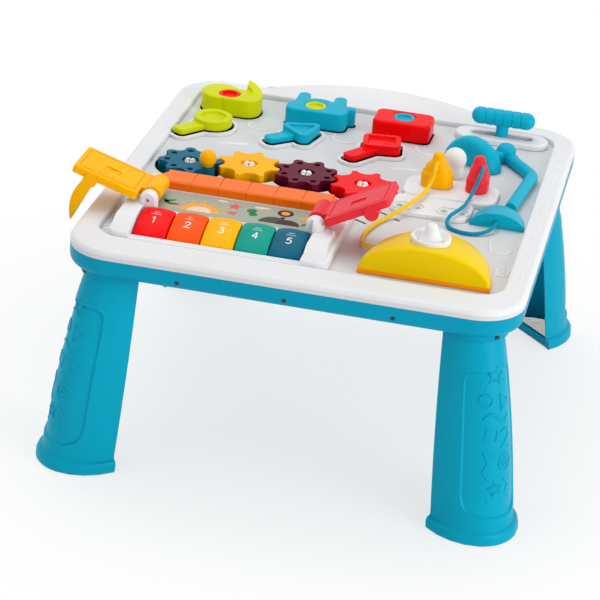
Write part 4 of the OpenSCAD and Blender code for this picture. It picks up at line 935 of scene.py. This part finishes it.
def panel_shapes():
    """Ink, layer and outline of each printed shape: sun, leaves, stars, kite, hills, balloon."""
    shapes = [("sun", 1, half_disc(SUN_X, SUN_Y, 21)), ("pale", 2, half_disc(SUN_X, SUN_Y, 13))]
    for k in range(7):
        a = math.radians(14 + k * 25.4)
        ray = leaf_of(SUN_X + RAY_REACH * math.cos(a), SUN_Y + RAY_REACH * math.sin(a),
                      8, 3, math.degrees(a))
        shapes.append(("sun", 1, ray))
    shapes += [("leaf", 1, leaf_of(-152, -126, 14, 5.6, 35)),
               ("leaf", 1, leaf_of(-156, -128, 13, 5, 120)),
               ("dark", 1, leaf_of(-147, -133, 13, 4.6, 5)), ("coral", 1, star_of(-86, -117, 8.6, 90)),
               ("coral", 1, [(-92, -133), (-80, -129), (-82, -139)])]
    shapes += [("leaf", 1, ring_of(-67, -121, 5.4)), ("leaf", 1, ring_of(-64, -129, 4.6)),
               ("dark", 1, half_disc(-40, -143, 16)), ("earth", 2, half_disc(-26, -143, 13)),
               ("earth", 1, ring_of(-33, -114.5, 8.5, 24)), ("sun", 2, ring_of(-33, -114.5, 4.6)),
               ("earth", 1, [(-36, -124.5), (-30, -124.5), (-31.4, -129), (-34.6, -129)]),
               ("sun", 1, star_of(-12, -121, 6.4, 70)), ("pale", 1, leaf_of(-58, -110, 17, 5, 4)),
               ("pale", 1, leaf_of(-100, -108, 12, 4, -6)), ("leaf", 1, leaf_of(-9, -135, 10, 4, 60))]
    return shapes


PRINT_COLOURS = {
    "sun": (244, 168, 74), "pale": (238, 214, 184), "leaf": (52, 126, 84), "dark": (74, 84, 74),
    "coral": (226, 98, 92), "earth": (76, 50, 44),
}


def make_panel_print():
    """The panel's print, one piece for each ink."""
    for name, colour in PRINT_COLOURS.items():
        bm = bmesh.new()
        for tone, level, outline in panel_shapes():
            if tone == name:
                print_patch(bm, outline, level)
        finish_relief(bm, "panel_print_" + name, "table",
                      moulded("ink_" + name, srgb(*colour), 0.4, 0.004, 0.03))


DECK_LINES = [
    # width, height, closed, points
    (3.2, 1.5, False, [(-131, 150), (-133, 141), (-128, 134), (-118, 132), (-108, 136)]),
    (3.2, 1.5, False, [(-34, 152), (-36, 143), (-30, 135), (-20, 131), (-9, 134)]),
    (3.2, 1.5, False, [(59, 152), (58, 143), (63, 137), (72, 133.5), (82, 135)]),
    (5, 1, False, [(-152, 79), (-137, 82), (-121, 86)]),
    (5, 1, False, [(44, 79), (56, 82), (69, 84)]),
    (2.2, 1.2, False, [(175, -74), (176.6, -86), (178.6, -97)]),
    (3, 1.3, False, [(183, -99), (190, -101), (196, -98), (199.5, -89)]),
    (2.4, 1.2, True, [(191, -140), (197.5, -128), (204, -139), (203, -153), (192, -153)]),
    (1.8, 1, False, [(194, -147), (197.5, -143), (201, -147)]),
]
# place and radius
DECK_DOTS = [
    (184, 168, 2.2), (190.5, 169, 2), (197, 167, 2.2), (203, 166, 1.8), (194, 160, 2.4),
    (-202, -141, 3), (-201.5, -151, 2.6), (-202, -178, 2.8), (-200.5, -187, 2.6),
    (-201.5, -196, 2.2), (197.5, -120, 1.8),
]
# width, points
RIM_LINES = [
    (2, [(219, 196), (216, 188), (220, 181)]), (2, [(216, 160), (221, 150), (216, 141), (221, 132)]),
    (2, [(218, 110), (218, 92)]), (2, [(215, 70), (221, 62), (215, 54)]),
    (2, [(216, 30), (221, 21), (216, 12), (221, 3)]), (2, [(218, -20), (218, -38)]),
    (2, [(215, -60), (221, -68), (215, -76)]), (2, [(217, -100), (220, -112), (216, -124)]),
    (2, [(218, -148), (218, -166)]),
]
DOT_HEIGHT = 1.4
RIM_LINE_HEIGHT = 0.4


def make_deck_relief():
    """Raised marks that are moulded with the deck."""
    cast = caster("top_panel")
    bm = bmesh.new()
    for width, height, closed, points in DECK_LINES:
        route = points if closed else smooth_line(points)
        raised_line(bm, lay_down(cast, route), width, height, closed)
    for x, y, radius in DECK_DOTS:
        for place, normal in lay_down(cast, [(x, y)]):
            raised_dot(bm, place, normal, radius, DOT_HEIGHT)
    for width, points in RIM_LINES:
        raised_line(bm, lay_down(cast, smooth_line(points)), width, RIM_LINE_HEIGHT)
    finish_relief(bm, "deck_relief", "table", shell_white)


# marks on a leg panel: width, closed, points as (sideways, height) in millimetres
LEG_LINES = [
    (1.8, True, star_of(0, 172, 9.5, 80)),
    (1.8, True, ring_of(-11, 148, 6)),
    (1.8, True, [(4, 153), (15, 146), (5, 138)]),
    (1.8, False, smooth_line([(-14, 130), (-7, 135), (0, 130), (7, 125), (14, 130)])),
    (1.8, True, [(-12, 120), (-1, 118), (-3, 107), (-14, 109)]),
    (1.8, False, smooth_line([(4, 116), (11, 118), (14, 111), (9, 105), (3, 100)])),
    (1.8, True, ring_of(8, 84, 8)),
    (1.8, True, ring_of(8, 84, 3.4)),
    (1.8, False, smooth_line([(-15, 96), (-12, 86), (-16, 76), (-11, 68)])),
    (1.8, True, star_of(-4, 58, 8, 100)),
    (1.8, False, smooth_line([(6, 66), (12, 60), (8, 52), (14, 46)])),
]
LEG_DOTS = [(12, 164, 2), (-14, 164, 1.8), (-5, 92, 1.8), (14, 98, 1.8), (-12, 46, 1.8), (2, 44, 1.8)]
# node and side of each leg: -1 left or front, 1 right or back
LEGS = [("leg_front_left", -1, -1), ("leg_front_right", 1, -1), ("leg_back_left", -1, 1),
        ("leg_back_right", 1, 1)]
# height of the marks on the front and on the back legs
LEG_RELIEF = {-1: 1.1, 1: 0.6}
LEG_AXIS = (175.5, 198)
LEG_WIDEN = 0.4
OUTSIDE = 200


def make_leg_relief():
    """Line pictures on the recessed panel of each leg: star, ring, triangle, wave and square."""
    for node, sx, sy in LEGS:
        cast = caster(node)
        out = Vector((sx, sy, 0)).normalized()
        side = Vector((-out.y, out.x, 0))
        root = Vector((sx * LEG_AXIS[0], sy * LEG_AXIS[1], 0)) + out * OUTSIDE
        height = LEG_RELIEF[sy]
        bm = bmesh.new()
        for width, closed, points in LEG_LINES:
            line = []
            for s, z in points:
                hit = cast((root + side * s + Vector((0, 0, z))) * MM, -out)
                line.append((hit[0], hit[1]))
            raised_line(bm, line, width + LEG_WIDEN, height, closed)
        for s, z, radius in LEG_DOTS:
            hit = cast((root + side * s + Vector((0, 0, z))) * MM, -out)
            raised_dot(bm, hit[0], hit[1], radius, height - 0.2)
        finish_relief(bm, node + "_relief", "table", leg_blue)


# width, points
PAGE_LINES = [
    (1.4, [(-214, -129), (-208, -129)]), (1, [(-222, -146), (-219, -146)]),
    (1, [(-215, -146), (-213, -146)]),
]
PAGE_DOT = (-206, -147)


def make_page_marks():
    """Small slots and a pin mark on the upper face of the yellow page, as dark lines and a dot of
    painted shade.
    """
    cast = caster("page_yellow")
    bm = bmesh.new()
    for width, points in PAGE_LINES:
        raised_line(bm, lay_down(cast, points), width, 0.08, sink=INK_SINK)
    for place, normal in lay_down(cast, [PAGE_DOT]):
        raised_dot(bm, place, normal, 1, 0.1, INK_SINK)
    # the dark brown of the marks is painted shade in the moulded slots and pin mark
    slot_shade_brown = moulded("slot_shade_brown", srgb(176, 112, 8), 0.5)
    finish_relief(bm, "page_yellow_marks", "page_left", slot_shade_brown)


# ------------------------------------------------------------------ stage


def looked_at(tree):
    """1 for what the camera sees, also in a mirror or through glass."""
    path = tree.nodes.new("ShaderNodeLightPath")
    found = path.outputs["Is Camera Ray"]
    for ray in ("Is Glossy Ray", "Is Transmission Ray"):
        either = tree.nodes.new("ShaderNodeMath")
        either.operation = "MAXIMUM"
        tree.links.new(found, either.inputs[0])
        tree.links.new(path.outputs[ray], either.inputs[1])
        found = either.outputs["Value"]
    return found


FLOOR_R = 9
# metres from the middle over which the floor fades, and how far it has faded before
FADE_START = 0.3
FADE_END = 0.62
FADE_LEAST = 0.7


def make_floor():
    """Pale floor that fades to the plain white of the backdrop, and keeps the soft shadow."""
    bm = bmesh.new()
    bmesh.ops.create_circle(bm, cap_ends=True, segments=96, radius=FLOOR_R)
    floor = bpy.data.objects.new("studio_floor", to_mesh(bm, "studio_floor"))
    bpy.context.scene.collection.objects.link(floor)
    material, tree, shader = node_tree("studio_floor")
    shader.inputs["Base Color"].default_value = (0.93, 0.93, 0.93, 1)
    shader.inputs["Roughness"].default_value = 0.9
    shader.inputs["Specular IOR Level"].default_value = 0.1
    place = tree.nodes.new("ShaderNodeTexCoord").outputs["Object"]
    length = tree.nodes.new("ShaderNodeVectorMath")
    length.operation = "LENGTH"
    tree.links.new(place, length.inputs[0])
    far = tree.nodes.new("ShaderNodeMapRange")
    far.interpolation_type = "SMOOTHSTEP"
    far.inputs["From Min"].default_value = FADE_START
    far.inputs["From Max"].default_value = FADE_END
    far.inputs["To Min"].default_value = FADE_LEAST
    tree.links.new(length.outputs["Value"], far.inputs["Value"])
    seen = tree.nodes.new("ShaderNodeMath")
    seen.operation = "MULTIPLY"
    tree.links.new(far.outputs["Result"], seen.inputs[0])
    tree.links.new(looked_at(tree), seen.inputs[1])
    white = tree.nodes.new("ShaderNodeEmission")
    white.inputs["Strength"].default_value = 1.0
    mix = tree.nodes.new("ShaderNodeMixShader")
    tree.links.new(seen.outputs["Value"], mix.inputs["Fac"])
    tree.links.new(shader.outputs["BSDF"], mix.inputs[1])
    tree.links.new(white.outputs["Emission"], mix.inputs[2])
    tree.links.new(mix.outputs["Shader"], tree.nodes["Material Output"].inputs["Surface"])
    floor.data.materials.append(material)


WORLD_LIGHT = 0.55


def make_world():
    """Even light from all round, behind a plain white backdrop."""
    world = bpy.data.worlds.new("studio_world")
    bpy.context.scene.world = world
    world.use_nodes = True
    tree = world.node_tree
    light = tree.nodes["Background"]
    light.inputs["Color"].default_value = (1, 1, 1, 1)
    light.inputs["Strength"].default_value = WORLD_LIGHT
    seen = tree.nodes.new("ShaderNodeBackground")
    seen.inputs["Color"].default_value = (1, 1, 1, 1)
    seen.inputs["Strength"].default_value = 1.0
    mix = tree.nodes.new("ShaderNodeMixShader")
    tree.links.new(looked_at(tree), mix.inputs["Fac"])
    tree.links.new(light.outputs["Background"], mix.inputs[1])
    tree.links.new(seen.outputs["Background"], mix.inputs[2])
    tree.links.new(mix.outputs["Shader"], tree.nodes["World Output"].inputs["Surface"])


# name, place, aim, side in metres and power in watts
SOFTBOXES = [
    ("top_softbox", (-0.4, 0.7, 2.6), (0, 0, 0.2), 2.0, 30),
    ("right_softbox", (2.3, -1.2, 0.9), (0, 0, 0.15), 1.4, 34),
    ("left_softbox", (-2.2, -1.4, 1.1), (0, 0, 0.15), 1.4, 6),
]


def make_softbox(name, at, aim, side, power):
    data = bpy.data.lights.new(name, "AREA")
    data.shape = "RECTANGLE"
    data.size = side
    data.size_y = side
    data.energy = power
    lamp = bpy.data.objects.new(name, data)
    bpy.context.scene.collection.objects.link(lamp)
    turn = (Vector(aim) - Vector(at)).to_track_quat("-Z", "Y").to_matrix().to_4x4()
    lamp.matrix_world = Matrix.Translation(at) @ turn


# ------------------------------------------------------------------ build


def build():
    """Plugs and cords first, then all other pieces, then the stage."""
    plugs = [make_plug(*row) for row in PLUGS]
    make_cord("yellow_cord", CORD_YELLOW, 4.6, cord_vinyl_yellow, "cord_yellow")
    make_cord("blue_cord", CORD_BLUE, 4.0, cord_vinyl_blue, "cord_blue")
    for row in EDGED:
        moulded_copy(*row, soft=SOFT.get(row[0]))
    for row in SOFTENED:
        softened_copy(*row)
    make_lamp_shade()
    make_lamp_arm()
    for node, material in PLAIN:
        paint(node, material)
    for make in (make_key_print, make_panel_print, make_deck_relief, make_leg_relief,
                 make_page_marks):
        make()
    make_floor()
    make_world()
    for row in SOFTBOXES:
        make_softbox(*row)


build()
bpy.context.scene.view_settings.view_transform = "Standard"
